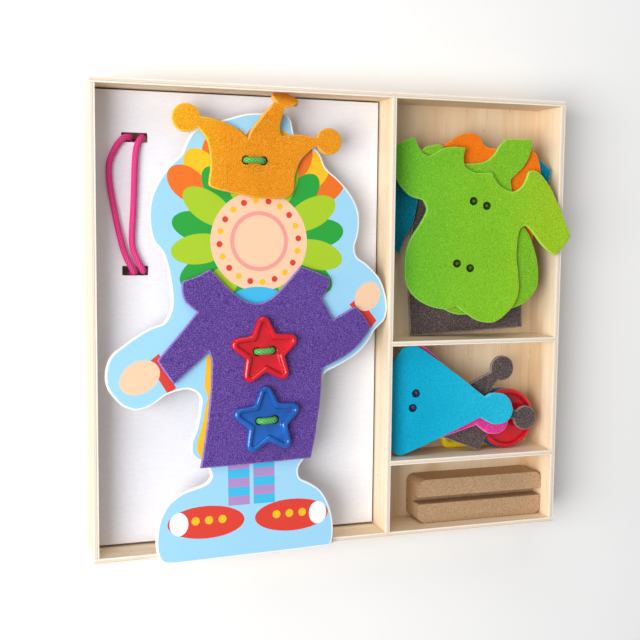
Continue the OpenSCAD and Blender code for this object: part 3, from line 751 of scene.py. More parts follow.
def ring_solid(name, rings, holes, floor, place, mats):
    """A moulded button: rings run from the underside over the rim to the floor, holes go through."""
    verts, faces, index = [], [], []
    ids = []
    for p, z in rings:
        ids.append(list(range(len(verts), len(verts) + len(p))))
        verts += [place(q.x, q.y, z) for q in p]
    n = len(rings[0][0])
    for a, b in zip(ids, ids[1:]):
        for j in range(n):
            faces.append((a[j], a[(j + 1) % n], b[(j + 1) % n], b[j]))
    z0 = rings[0][1]
    lips = [(0.3, z0), (0.08, z0 + 0.1), (0.0, z0 + 0.35), (0.0, floor - 0.45), (0.1, floor - 0.12), (0.38, floor)]
    walls = []
    for x, y, r in holes:
        hole = []
        for d, z in lips:
            c = circle(x, y, r + d, 28)[::-1]
            hole.append(list(range(len(verts), len(verts) + 28)))
            verts += [place(q.x, q.y, z) for q in c]
        walls.append(hole)
        for a, b in zip(hole, hole[1:]):
            for j in range(28):
                faces.append((a[j], a[(j + 1) % 28], b[(j + 1) % 28], b[j]))
    for top in (False, True):
        outer = rings[-1][0] if top else rings[0][0]
        loops = [outer] + [circle(x, y, r + lips[-1 if top else 0][0], 28)[::-1] for x, y, r in holes]
        z = rings[-1][1] if top else z0
        co, tris, where = cap(loops, off_edges(grid_points(loops, 3.0, 1.3), loops, 0.6))
        at = {}
        for j in range(n):
            at[where[j]] = ids[-1 if top else 0][j]
        base = n
        for hole in walls:
            for j in range(28):
                at[where[base + j]] = hole[-1 if top else 0][j]
            base += 28
        for f in tris:
            g = []
            for i in f:
                if i not in at:
                    at[i] = len(verts)
                    verts.append(place(co[i].x, co[i].y, z))
                g.append(at[i])
            faces.append(tuple(g) if top else tuple(g)[::-1])
    return make_mesh(name, verts, faces, mats, [0] * len(faces))


# ---- places, as in the construction ---------------------------------------------------
def T(x, y, z):
    return Matrix.Translation((x, y, z))


def R(deg, axis):
    return Matrix.Rotation(math.radians(deg), 4, axis)


FIG = T(0.25, -126.35, 32.35) @ R(-2.58, "X") @ R(0.31, "Z")
FELT, GAP, BOARD, BTN, LACE = 2.5, 0.3, 3.5, 4.0, 1.75
FELT_Z, STAR_Z, FLOOR = 3.8, 6.6, 2.0


def pile(i):
    z, t = i * 2.8, math.tan(math.radians(9.8))
    return T(33, 0, 3.3) @ R(-9.8, "Y") @ T(t * (z + 2.5), 0, z)


def hats(i):
    z, t = i * 2.8, math.tan(math.radians(3.8))
    return T(33, 0, 20.5 - 62 * t) @ R(-3.8, "Y") @ T(t * (z + 2.5), 0, z)


hat_holes = [(-55.1, 214.9), (-45.4, 214.6)]
red_c, blue_c = V2(-46.5, 110.6), V2(-45.6, 72.3)
TURN = math.radians(3)


def star_pair(c):
    return [(c.x + s * 4.5 * math.cos(TURN) - 0.2 * math.sin(TURN), c.y + s * 4.5 * math.sin(TURN) + 0.2 * math.cos(TURN))
            for s in (-1, 1)]


coat_holes = star_pair(red_c) + star_pair(blue_c)


# ---- laces ------------------------------------------------------------------------
def route(p, k):
    n = len(p)
    out = []
    for i in range(n - 1):
        out += [crv(p[max(i - 1, 0)], p[i], p[i + 1], p[min(i + 2, n - 1)], j / k) for j in range(k)]
    return out + [p[-1]]


def even(p, step):
    """The same line with points every step along it."""
    out, left = [p[0]], step
    for a, b in zip(p, p[1:]):
        d = (b - a).length
        at = left
        while at <= d:
            out.append(a.lerp(b, at / d))
            at += step
        left = at - d
    return out


def lace(name, points, mats, first):
    """Braided round lace with two sealed tips along points, in millimetres."""
    step, sides = 0.3, 24
    p = even(route(points, 12), step)
    n = len(p)
    tan = [(p[min(i + 1, n - 1)] - p[max(i - 1, 0)]).normalized() for i in range(n)]
    side = tan[0].cross(Vector(first)).normalized()
    verts, rel, faces, index = [], [], [], []
    total = (n - 1) * step
    for i in range(n):
        side = (side - tan[i] * side.dot(tan[i])).normalized()
        up = tan[i].cross(side)
        u = i * step
        end = min(u, total - u)
        woven = smoothstep(8.5, 9.2, end)
        body = (1.42 + 0.21 * woven) * (1.0 if end > 0.9 else math.sqrt(max(0.05, 1 - (1 - end / 0.9) ** 2)))
        for j in range(sides):
            a = 2 * math.pi * j / sides
            h = max(math.cos(6 * a + 6 * u / 1.7), math.cos(6 * a - 6 * u / 1.7))
            r = body + 0.12 * woven * h
            verts.append(p[i] + (side * math.cos(a) + up * math.sin(a)) * r)
            # relief drives painted light on the strand tops and painted shade in the grooves between them
            rel.append(0.5 + 0.5 * h if woven > 0.5 else 0.6)
    for i in range(n - 1):
        for j in range(sides):
            k = (j + 1) % sides
            faces.append((i * sides + j, i * sides + k, (i + 1) * sides + k, (i + 1) * sides + j))
            index.append(0 if 8.8 < min(i * step, total - i * step) else 1)
    faces.append(tuple(range(sides))[::-1])
    faces.append(tuple((n - 1) * sides + j for j in range(sides)))
    index += [1, 1]
    o = make_mesh(name, verts, faces, mats, index)
    att = o.data.attributes.new("relief", "FLOAT", "POINT")
    att.data.foreach_set("value", rel)
    return o, [tuple(q * MM) for q in p[::4] + [p[-1]]]


def length(path):
    return sum((Vector(b) - Vector(a)).length for a, b in zip(path, path[1:]))


def stitch(a, b, top, tail_a, tail_b):
    a, b = V2(*a), V2(*b)
    u = (b - a).normalized()
    z = top + LACE + 0.1

    def at(c, s, h):
        return (c.x + s * u.x, c.y + s * u.y, h)
    pts = tail_a + [at(a, 0, -0.7), at(a, 0, z - 4.4), at(a, 0.2, z - 2.1), at(a, 1.1, z - 0.5), at(a, 2.9, z),
                    at(b, -2.9, z), at(b, -1.1, z - 0.5), at(b, -0.2, z - 2.1), at(b, 0, z - 4.4), at(b, 0, -0.7)] + tail_b
    return [FIG @ Vector(q) for q in pts]


green_lace = lace_material("green_lace_look", (50, 160, 58), (116, 204, 104), (10, 66, 28))
green_tip = tip_material("green_lace_tip", (60, 170, 80))
pink_lace = lace_material("pink_lace_look", (234, 18, 120), (254, 80, 164), (92, 0, 44))
pink_tip = tip_material("pink_lace_tip", (230, 40, 130))

tz = -LACE - 0.65
lz = tz - 2 * LACE - 0.3
green = {
    "lace_green_hat": ("worn_hat", stitch(
        hat_holes[0], hat_holes[1], FELT_Z + FELT,
        [(-14, 204, lz), (-24, 212, lz), (-34, 220, lz), (-45, 226, lz - 0.4), (-54, 225, lz), (-59, 219.5, tz - 2.4), (-57.8, 215.4, tz - 0.9)],
        [(-42.7, 215, tz - 0.5), (-41.3, 219, tz - 0.2), (-46, 225, tz), (-56, 228, tz), (-67, 226, tz), (-77, 220, tz), (-86, 212, tz)])),
    "lace_green_red_star": ("worn_red_star", stitch(
        *star_pair(red_c), STAR_Z + FLOOR,
        [(-70, 135, tz), (-69, 125, tz), (-64, 116, tz), (-58, 111.5, tz), (-53.6, 110.5, tz - 0.5)],
        [(-39.4, 111.2, tz - 0.5), (-35, 112.5, tz), (-29, 117, tz), (-24, 126, tz), (-23, 136, tz)])),
    "lace_green_blue_star": ("worn_blue_star", stitch(
        *star_pair(blue_c), STAR_Z + FLOOR,
        [(-70, 94, tz), (-69, 86, tz), (-64, 78, tz), (-57.5, 73, tz), (-52.7, 72.2, tz - 0.5)],
        [(-38.5, 72.9, tz - 0.5), (-34, 74, tz), (-28, 79, tz), (-24, 87, tz), (-23, 96, tz)])),
}
for node, (body, pts) in green.items():
    o, path = lace(node + "_look", pts, [green_lace, green_tip], FIG.to_3x3() @ Vector((0.3, 1, 0.2)))
    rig.ride(o, body)
    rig.replaces(o, node)
    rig.slot(o, "green_lace")
    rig.cord(o, exit=path[0], length=length(path), diameter=2 * LACE * MM, far_end="bare", stiffness="limp", lay="loose", path=path)

fz, bz, cz = 13.6 + LACE + 0.15, 3 + LACE + 1.2, 13.6
pink_pts = [
    (-84, 14, bz), (-88, -4, bz), (-96, -20, bz), (-110, -26, bz), (-122, -18, bz), (-126, -2, bz),
    (-122, 13, bz), (-117, 22, bz + 1.2), (-115, 26.4, bz + 3.8), (-114.4, 27.2, cz - 0.6), (-115.4, 28, fz - 0.4),
    (-118, 33, fz), (-120.5, 39, fz), (-123.2, 50, fz), (-125.4, 61, fz), (-127.3, 72, fz),
    (-128, 80, fz), (-127.6, 86, fz), (-125.5, 91.5, fz), (-122.6, 96.4, fz), (-119.5, 99.2, fz - 0.4),
    (-116.7, 99.6, cz - 1), (-115.2, 98.6, bz + 3.4), (-114.4, 94, bz + 0.8), (-113, 82, bz), (-111.5, 62, bz),
    (-110.4, 42, bz), (-109.8, 33, bz + 0.8), (-109.6, 28.6, bz + 3.4), (-109.7, 27.6, cz - 0.6), (-110.6, 29, fz - 0.3),
    (-113, 33.6, fz), (-115.2, 39, fz), (-116, 45, fz), (-115.5, 55, fz), (-114.9, 66, fz),
    (-114.5, 77, fz), (-114.1, 86, fz), (-113.3, 93.5, fz), (-111.6, 98, fz - 0.2), (-109.8, 99.6, cz - 0.4),
    (-109.2, 101, bz + 3.4), (-107.5, 105, bz + 0.8), (-101, 112, bz), (-88, 115, bz), (-75, 107, bz),
    (-71, 92, bz), (-78, 78, bz)]
o, path = lace("lace_pink_look", [Vector(q) for q in pink_pts], [pink_lace, pink_tip], (1, 0.2, 0))
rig.ride(o, "card")
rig.replaces(o, "lace_pink")
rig.slot(o, "pink_lace")
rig.cord(o, exit=path[0], length=length(path), diameter=2 * LACE * MM, far_end="bare", stiffness="limp", lay="loose", path=path)

# ---- tray: the construction's own solids, with eased edges and wood -----------------------
def ease(o, width, segments=2):
    w = o.modifiers.new("joined", "WELD")
    w.merge_threshold = 1e-5
    b = o.modifiers.new("eased", "BEVEL")
    b.width = width
    b.segments = segments
    b.limit_method = "ANGLE"
    b.angle_limit = math.radians(40)
    n = o.modifiers.new("even", "WEIGHTED_NORMAL")
    n.keep_sharp = False


def dress(node, material, width, segments=2):
    o = frame["nodes"][node]
    o.data.materials.clear()
    o.data.materials.append(material)
    ease(o, width, segments)
    return o


dress("wall_left", ply_material("ply_wall_left", 0, -0.140, -0.1368, 1), 0.0003)
dress("wall_right", ply_material("ply_wall_right", 0, 0.1368, 0.140, 1), 0.0003)
dress("wall_back", ply_material("ply_wall_back", 1, 0.1253, 0.1285, 0, 0.32), 0.0003)
dress("wall_front", ply_material("ply_wall_front", 1, -0.1285, -0.1253, 0, 0.32), 0.0003)
dress("divider_long", ply_material("ply_divider_long", 0, 0.028, 0.0308, 1), 0.0003)
dress("divider_upper", ply_material("ply_divider_upper", 1, -0.0158, -0.0130, 0, 0.32), 0.0003)
dress("divider_lower", ply_material("ply_divider_lower", 1, -0.0858, -0.0830, 0, 0.32), 0.0003)
dress("box_base", ply_material("ply_base", 2, 0.0, 0.003, 1), 0.0002)
dress("card_insert", card_material(), 0.00035, 3)
dress("stand_block", fibreboard_material(), 0.0011, 4)

# ---- figure board -------------------------------------------------------------------------
board_pts = [(-62, 238), (-53, 240.5), (-44, 241), (-36, 241.5), (-31, 240.5), (-28.5, 237.5),
    (-27.5, 233), (-26, 228.5), (-20, 225), (-14, 222), (-11, 218), (-9.5, 214), (-7, 210.5), (-2, 206.5),
    (3, 201.5), (7.5, 195.5), (10.5, 189), (11.5, 182), (10.5, 174), (8.5, 167.5), (10, 162), (15, 158.5),
    (20, 154), (24, 149), (26.5, 143), (28, 136.5), (28, 131), (26.5, 126), (23, 122.5), (20, 119.5),
    (17, 114.5), (12, 109), (5, 104), (-3, 100), (-9.5, 97), (-12, 92.5), (-13, 82), (-14, 72),
    (-16, 63), (-19, 54), (-23, 48.5), (-26, 44.5), (-26.5, 41), (-25, 37.5), (-19.5, 34.5), (-14.5, 31),
    (-11, 26.5), (-8, 20), (-6.5, 13.5), (-6, 7), (-6.5, 1.5), (-8, -2), (-11, -2.5), (-30, -3), (-60, -3.5),
    (-90, -4), (-98.5, -4), (-103.5, -3), (-106, 0.5), (-107, 5), (-107, 11), (-106, 18), (-104, 23.5),
    (-100.5, 29), (-95.5, 33), (-90.5, 35.5), (-83, 37.5), (-78.5, 39.5), (-76.5, 42.5), (-77.5, 46.5),
    (-80, 50), (-84.5, 52.5), (-87, 55.5), (-87.5, 59), (-87, 63), (-84.5, 69), (-83, 75), (-82, 81),
    (-81.5, 85), (-83, 88), (-85.5, 90), (-89.5, 91), (-95.5, 90), (-101, 88), (-106, 84.5), (-111, 82),
    (-117, 81), (-123.5, 83.5), (-128, 88), (-131.5, 93.5), (-132.5, 99.5), (-131.5, 106), (-128.5, 111.5),
    (-122, 116.5), (-115.5, 121), (-108, 125), (-102, 127), (-99, 130), (-97, 135), (-96.5, 140), (-97, 147),
    (-98, 154), (-99.5, 160.5), (-101.5, 165.5), (-105.5, 170.5), (-107.5, 177), (-108, 185), (-107, 193),
    (-104, 200.5), (-100, 207), (-95.5, 212.5), (-90.5, 217), (-88.5, 221), (-86, 226), (-83, 230), (-77, 233),
    (-70, 235.5)]
board_line = ccw(smooth(board_pts, 5))
INK = ["sky", "white", "lime", "green", "peach", "orange", "yellow", "red", "cyan", "mauve", "snow", "rose"]
ink_rgb = {"sky": (160, 217, 247), "white": (250, 250, 250), "lime": (170, 207, 30), "green": (30, 165, 55),
           "peach": (250, 208, 172), "orange": (240, 115, 20), "yellow": (250, 196, 20), "red": (225, 60, 45),
           "cyan": (60, 190, 235), "mauve": (178, 142, 202), "snow": (252, 252, 252), "rose": (244, 160, 150)}
ink = [print_material("print_" + n, ink_rgb[n]) for n in INK]

# a simple round flower, dots and stripes, from the lowest layer to the highest
motifs = []
hub = V2(-47.5, 171)
for i, a in enumerate(range(38, 150, 13)):
    c = hub + 50 * V2(math.cos(math.radians(a)), math.sin(math.radians(a)))
    motifs.append((("orange", "yellow")[i % 2], ellipse(c.x, c.y, 12.5, 8.5, a)))
for par in (0, 1):
    for i in range(par, 18, 2):
        a = i * 20 + 7
        c = hub + 34 * V2(math.cos(math.radians(a)), math.sin(math.radians(a)))
        motifs.append((("green", "lime")[par], ellipse(c.x, c.y, 15.5, 8.2, a)))
motifs.append(("peach", circle(hub.x, hub.y, 27.5, 72)))
for i in range(20):
    a = math.radians(i * 18 + 4)
    motifs.append((("red", "yellow")[i % 2], circle(hub.x + 22.5 * math.cos(a), hub.y + 22.5 * math.sin(a), 1.7, 18)))
motifs.append(("rose", circle(hub.x, hub.y, 16.5, 56)))
motifs.append(("peach", circle(hub.x, hub.y, 14.2, 52)))
motifs.append(("cyan", ellipse(-49, 139, 15, 7)))
motifs.append(("yellow", [V2(*p) for p in ((-82.2, 53), (-70, 53), (-68, 108), (-78, 109), (-79.5, 92), (-77.5, 86), (-79, 81), (-80, 75),
                                           (-81.6, 69), (-84, 61.5), (-84.2, 58))]))
for c, at in (("red", ((-95, 92), (-99.4, 88.9), (-110, 106.2), (-104, 111))), ("red", ((5, 135), (10.6, 139.4), (21.4, 125.6), (17.6, 121)))):
    motifs.append((c, [V2(*p) for p in at]))
motifs.append(("peach", ellipse(-114.5, 98.5, 11.5, 8.6, 28)))
motifs.append(("peach", ellipse(16, 139.5, 9.0, 7.2, 52)))
for i in range(5):
    for k, x in enumerate((-67, -52.6)):
        s0 = 25.5 + 5 * i
        motifs.append((("mauve", "cyan")[(i + k) % 2], [V2(x, s0), V2(x + 12.2, s0), V2(x + 12.2, s0 + 5), V2(x, s0 + 5)]))
for x, out in ((-79.5, -1), (-30.5, 1)):
    motifs.append(("red", ellipse(x, 17.5, 21.5, 9.0)))
    motifs.append(("snow", ellipse(x + out * 15.2, 17.5, 5.2, 6.4)))
    for k in range(3):
        motifs.append(("yellow", circle(x - out * (9 - 7.5 * k), 18.5, 2.3, 20)))


def board_paint(x, y):
    c = "sky" if inside(board_edge, x, y) else "white"
    if c == "sky":
        for name, p in motifs:
            if inside(p, x, y):
                c = name
    return INK.index(c)


board_edge = inset(board_line, 1.05)
o = slab("figure_board_look", board_line, [(x, y, 2.3) for x, y in hat_holes + coat_holes], BOARD, 0.45,
         lambda x, y, z: FIG @ Vector((x, y, z)), ink, step=9.0, paint=board_paint,
         extra=[board_edge] + [p for _, p in motifs])
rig.ride(o, "figure")
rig.replaces(o, "figure_board")
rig.slot(o, "printed_board")

# ---- felt clothes ---------------------------------------------------------------------------
def felt_piece(node, body, slot, outline, holes, place, mats, rests_on, step=4.0, waist=1.3):
    o = slab(node + "_look", outline, [(x, y, 2.3) for x, y in holes], FELT, 0.62, place, mats, step=step, rough=0.22, waist=waist)
    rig.ride(o, body)
    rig.replaces(o, node)
    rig.slot(o, slot)
    w = max(p.x for p in outline) - min(p.x for p in outline)
    l = max(p.y for p in outline) - min(p.y for p in outline)
    a = abs(area(outline)) - len(holes) * math.pi * 2.3 ** 2
    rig.sheet(o, flat=(round(w * MM, 4), round(l * MM, 4)), held="laid", rests_on=rests_on, area=a * 1e-6)
    return o


def mixed(a, b, t):
    return tuple(x + (y - x) * t for x, y in zip(a, b))


def felt_set(name, rgb, light, dark, grain=1.0, dye_and_shade=None):
    """Face, cut edge and the wall of a punched hole, whose near-black colour is painted shade."""
    return [felt_material(name + "_felt_look", rgb, light, dark, grain, dye_and_shade),
            felt_material(name + "_felt_cut", light, mixed(light, (255, 255, 255), 0.35), mixed(rgb, light, 0.4), 1.0, dye_and_shade),
            felt_material(name + "_felt_hole_shade", mixed(dark, (0, 0, 0), 0.7), mixed(dark, (0, 0, 0), 0.4), mixed(dark, (0, 0, 0), 0.85))]


purple = felt_set("purple", (96, 66, 152), (146, 116, 196), (64, 40, 116))
orange = felt_set("orange", (250, 178, 26), (255, 208, 72), (226, 130, 8), 1.15,
                  (0, -0.095, 0.005, [(0.0, (1, 1, 1)), (0.16, (0.99, 0.92, 0.9)), (0.3, (0.93, 0.72, 0.8)), (0.8, (0.93, 0.72, 0.9)), (1.0, (0.97, 0.84, 1))]))
charcoal = felt_set("charcoal", (86, 74, 74), (142, 128, 126), (52, 43, 44), 1.1)
teal = felt_set("teal", (0, 124, 154), (34, 164, 194), (0, 92, 118), 0.8)
lime = felt_set("green", (124, 188, 38), (164, 214, 66), (84, 158, 28), 0.9)
# the upper green suit darkens towards its left part: painted shade of the long divider's shadow; the weaker blue at
# its right is a hue change
lime_top = felt_set("green_top", (156, 198, 50), (190, 222, 84), (116, 172, 36), 0.9,
                    (0, 0.030, 0.130, [(0.0, (0.38, 0.88, 1.0)), (0.18, (0.5, 0.92, 0.8)), (0.45, (0.62, 0.92, 0.66)), (0.72, (0.7, 0.95, 0.6)), (1.0, (1, 1, 0.55))]))
pink = felt_set("pink", (238, 52, 150), (255, 120, 196), (206, 24, 118), 0.8)
# the blue cone hat darkens towards its left part: painted shade of the long divider's shadow
blue = felt_set("blue", (40, 196, 230), (76, 214, 242), (6, 164, 206), 0.8,
                (0, 0.030, 0.120, [(0.0, (0.12, 0.66, 0.76)), (0.35, (0.25, 0.84, 0.9)), (0.65, (0.6, 0.93, 0.96)), (1.0, (1, 1, 1))]))
vest = felt_set("vest", (246, 122, 16), (255, 152, 50), (226, 98, 6), 0.6)

coat_pts = [(-75, 155.5, 1), (-70, 150), (-64, 144), (-57.5, 139), (-53, 137), (-48.5, 136.5), (-43, 138),
    (-37.5, 142), (-32.5, 147), (-27.5, 152.5), (-24, 156.5, 1), (-17.5, 154.5), (-11.5, 152), (-7, 150, 1),
    (-7, 146.5), (-9, 142.5), (-12, 138.5, 1), (-8.5, 133), (-5, 126.5, 1), (1.5, 130), (8, 133.5, 1),
    (13, 128.5), (17.5, 121.5, 1), (14.5, 117), (8.5, 110.5), (1.5, 105.5), (-5.5, 102), (-12, 99, 1),
    (-12.5, 88.5), (-13.5, 78), (-15, 69), (-16.5, 60), (-19, 49, 1), (-48.5, 48), (-82, 47.5, 1),
    (-80, 58.5), (-78, 70), (-76.5, 81.5), (-75.5, 92), (-75, 101), (-75, 107), (-76.5, 111, 1),
    (-80.5, 107), (-86.5, 102), (-92, 97.5), (-96, 94, 1), (-104.5, 107, 1), (-98, 114.5), (-90, 123.5),
    (-82.5, 132.5, 1), (-85.5, 135), (-89, 138.5), (-90.5, 143), (-90.5, 148), (-89.5, 149.5, 1), (-82, 152)]
coat = [p + V2(-0.8, 0.4) for p in smooth(coat_pts, 5)]


def on_coat(x, y, z):
    # edges of the collar, sleeves and hem lift a little from the board
    away = min((V2(x, y) - red_c).length, (V2(x, y) - blue_c).length)
    lift = 0.9 * smoothstep(24, 60, away) * (0.5 + 0.5 * hill(x, y, 0.05, 2.0))
    return FIG @ Vector((x, y, FELT_Z + z + lift))


felt_piece("felt_coat_purple", "worn_coat", "purple_felt", coat, coat_holes, on_coat, purple, ["figure_board_look"], waist=0.0)

jester_left = [(-80, 238, 1), (-74.5, 237.5), (-68.5, 236), (-63, 234), (-59, 232), (-56, 229.5), (-53, 227, 1)]
jester_mid_pts = [(-51, 231), (-47, 236.5), (-42.5, 241.5), (-38, 246, 1), (-31.5, 245, 1), (-33.5, 239), (-34.5, 233.5)]
jester_right = [(-34, 229, 1), (-28.5, 229.5), (-23, 230), (-17.5, 229), (-12.5, 228.5, 1),
    (-12, 224, 1), (-16, 222.5), (-19, 220), (-22.5, 216.5), (-24.5, 213), (-26.5, 207.5), (-27, 202),
    (-28, 198), (-30, 196), (-34.5, 194.5), (-42.5, 194.5), (-50, 195), (-57.5, 196.5), (-65.5, 198),
    (-71.5, 199.5), (-74.5, 201), (-75, 203.5), (-74, 209.5), (-74, 216), (-74.5, 221), (-76, 226),
    (-78.5, 229.5), (-81, 232, 1)]
worn_mid = [(-51.5, 231.2), (-48, 237.1), (-44.5, 242.5), (-40.5, 247.2, 1), (-34, 246.1, 1), (-35, 239.7), (-35.5, 233.9)]
worn_hat = union([[p + V2(-0.8, -0.3) for p in ccw(smooth(jester_left + worn_mid + jester_right, 5))],
                  circle(-86.9 - 0.8, 237 - 0.3, 7.7, 56), circle(-6.6 - 0.8, 226.6 - 0.3, 7.4, 56), circle(-34.2, 252.2, 7.6, 56)])

# the middle point of the hat that is worn rises from its crease and folds down at the wall
CREASE = 227.2
fold = []
s_at, z_at, q = -8.0, 0.0, -8.0
while q < 34:
    ang = math.radians(27.4 * smoothstep(-3, 6, q) - 84.0 * smoothstep(16.2, 21.6, q))
    fold.append((q, s_at, z_at, ang))
    s_at += 0.1 * math.cos(ang)
    z_at += 0.1 * math.sin(ang)
    q += 0.1


def on_hat(x, y, z):
    lift = 0.5 * (0.5 + 0.5 * hill(x, y, 0.06, 5.0)) * smoothstep(8, 30, min((V2(x, y) - V2(*h)).length for h in hat_holes))
    u = y - CREASE
    w = smoothstep(-58.5, -52.0, x) * (1 - smoothstep(-34.6, -32.6, x) if y < 233 else 1.0) if -3 < u and -60 < x < -18 else 0.0
    if w <= 0:
        return FIG @ Vector((x, y, FELT_Z + z + lift))
    q, s, h, a = fold[min(len(fold) - 1, int((u + 8) / 0.1))]
    zz = z - 1.25
    y2, z2 = CREASE + s - zz * math.sin(a), h + 1.25 + zz * math.cos(a)
    tw = math.radians(-10) * smoothstep(17, 23, u)
    px, py = x + 37.0, y2 - (CREASE + 16.4)
    x2 = -37.0 + px * math.cos(tw) - py * math.sin(tw)
    y2 = CREASE + 16.4 + px * math.sin(tw) + py * math.cos(tw)
    return FIG @ Vector((x + (x2 - x) * w, y + (y2 - y) * w, FELT_Z + z + (z2 - z) * w + lift * (1 - smoothstep(0, 8, u))))


felt_piece("felt_jester_hat_orange", "worn_hat", "orange_felt", worn_hat, hat_holes, on_hat, orange, ["figure_board_look"], step=2.6, waist=0.0)

# loose clothes: the pieces of one pile share their waves, so they lie on each other
def on_pile(i):
    m = pile(i)

    def place(x, y, z):
        wave = 0.45 + 0.45 * hill(x, y, 0.035, 11.0) + 0.15 * hill(x, y, 0.09, 4.0)
        return m @ Vector((x, y, z + wave))
    return place


def on_hats(i):
    m = hats(i)

    def place(x, y, z):
        wave = 0.3 * hill(x, y, 0.04, 7.0)
        droop = 3.4 * max(0.0, (20 - x) / 21.0) ** 2
        return m @ Vector((x, y, z + wave - droop))
    return place


green_up = [(14.5, 105.5, 1), (17, 100), (20, 96), (23.5, 94.5), (27.5, 96.5), (32, 99), (38.5, 100),
    (45.5, 99.5, 1), (44.5, 94.5), (45, 89.5), (47.5, 87), (53, 85), (62, 85.5, 1), (64, 81.5), (67.5, 77.5),
    (72, 75), (76, 74.5), (80.5, 77.5), (83, 82), (84.5, 86.5, 1), (88.5, 87), (93, 84), (97.5, 78.5),
    (100.5, 73.5), (105, 64.5), (112, 48.5, 1), (109.5, 44), (103, 36.5, 1), (98.5, 39), (94, 43),
    (89.5, 48.5), (85.5, 53), (82.5, 54), (80, 51.5), (79, 46), (78.5, 36), (80, 24.5), (80.5, 16),
    (79, 10), (76, 5), (70.5, -0.5), (65, -3.5), (59.5, -3.5), (54, -2), (48.5, 1.5), (45, 4),
    (42, 6.5, 1), (38.5, 5), (33, 4.5), (25, 6.5), (18.5, 10), (13.5, 15), (10.5, 21.5), (10, 29),
    (10.5, 38), (13.5, 46.5), (18, 53.5), (21, 59), (22.5, 63), (21, 67.5), (19, 69), (15, 70),
    (10.5, 72.5), (6, 77.5), (3, 83), (-0.5, 87.5, 1), (-1.5, 97.5, 1), (6, 101.5)]
green_low = [(23, 100), (27.5, 101), (30.5, 101.5), (33.5, 99.5), (38, 95), (42, 92), (46.5, 90.5),
    (54.5, 91), (60, 92.5), (64.5, 96.5), (67.5, 101.5), (71.5, 105.5, 1), (87.5, 105.5, 1), (87.5, 100),
    (85.5, 94), (82.5, 89), (78.5, 85), (75, 81.5, 1), (76, 75), (77.5, 66), (80.5, 58.5), (84, 54),
    (88, 48), (91.5, 39), (93.5, 31), (94, 23.5), (93, 16.5), (88.5, 10.5), (83, 6.5), (72, 3), (60, 1),
    (49.5, 1), (44.5, 1), (40, 2), (36, 4), (26, 9), (18, 17), (14.5, 28), (16, 42), (22, 54), (25.5, 63),
    (22.5, 69), (14, 73), (8, 80), (5, 88, 1), (7, 97, 1), (15, 99), (19.5, 97.5)]
vest_pts = [(35, 101.5), (41, 105.5), (47, 108.5), (52.5, 108.5), (56, 107), (59, 102.5), (63.5, 100),
    (70, 100), (78, 101), (84, 102), (90, 99.5), (93.5, 94), (95, 86.5), (95, 78), (94.5, 68), (92, 58),
    (91.5, 48.5), (89.5, 40), (87, 28), (84, 17), (76, 10), (62, 7), (45, 8), (30, 13), (21, 22), (19, 34), (23, 48),
    (27, 60), (27, 70), (24, 80), (24, 90), (28, 97)]
teal_pts = [(10, 37, 1), (12, 43.5), (15.5, 50), (18.5, 56), (20, 63.5), (21.5, 70), (28, 76, 1), (29, 66),
    (28, 50), (27, 30), (29, 16), (42, 10), (62, 9), (78, 12), (82, 25), (82, 45), (84, 60), (88, 70, 1), (94, 73),
    (100.5, 77.5, 1), (102.5, 84), (103, 88, 1), (97, 93), (90, 97), (80, 98), (72, 95, 1), (62, 87), (52, 85), (42, 89, 1),
    (32, 94), (20, 92), (9, 85), (2, 73), (-0.5, 58), (-0.5, 45, 1)]
charcoal_pts = [(19, -12.5, 1), (54, -10), (89, -7.5, 1), (88.5, 6), (88, 20), (86, 40), (85, 52), (84, 61, 1), (95, 66, 1),
    (92, 84, 1), (80, 92), (70, 95, 1), (62, 86), (52, 84), (44, 92, 1), (32, 88), (22, 80), (9, 68, 1), (13, 58, 1), (19.5, 61, 1),
    (17.5, 42), (17, 22), (17.5, 5)]
felt_piece("felt_coat_charcoal", "charcoal_coat", "charcoal_felt", smooth(charcoal_pts, 5), [(50, 58), (59, 58.5), (48, 22), (57, 22.5)],
           on_pile(0), charcoal, ["box_base"])
felt_piece("felt_coat_teal", "teal_coat", "teal_felt", smooth(teal_pts, 5), [(52, 64), (61, 63), (50, 30), (59, 29)],
           on_pile(1), teal, ["felt_coat_charcoal_look"])
felt_piece("felt_vest_orange", "orange_vest", "orange_felt", smooth(vest_pts, 5), [(53, 70), (62, 69), (50, 34), (59, 33)],
           on_pile(2), vest, ["felt_coat_teal_look"])
felt_piece("felt_suit_green_lower", "lower_green_suit", "green_felt", smooth(green_low, 5), [(54.5, 75.5), (63, 77.5), (52, 39.5), (60.5, 41)],
           on_pile(3), lime, ["felt_vest_orange_look"])
felt_piece("felt_suit_green_upper", "upper_green_suit", "green_felt", smooth(green_up, 5),
           [(50.9, 68.4), (59.1, 65.8), (41.6, 31.6), (49.8, 28.9)], on_pile(4), lime_top, ["felt_suit_green_lower_look"])

# hats in the button compartment
turn = math.radians(-21)


def laid_hat(p):
    d = p - V2(-32.6, 250)
    return V2(73.7 + d.x * math.cos(turn) - d.y * math.sin(turn), -32.2 + d.x * math.sin(turn) + d.y * math.cos(turn))


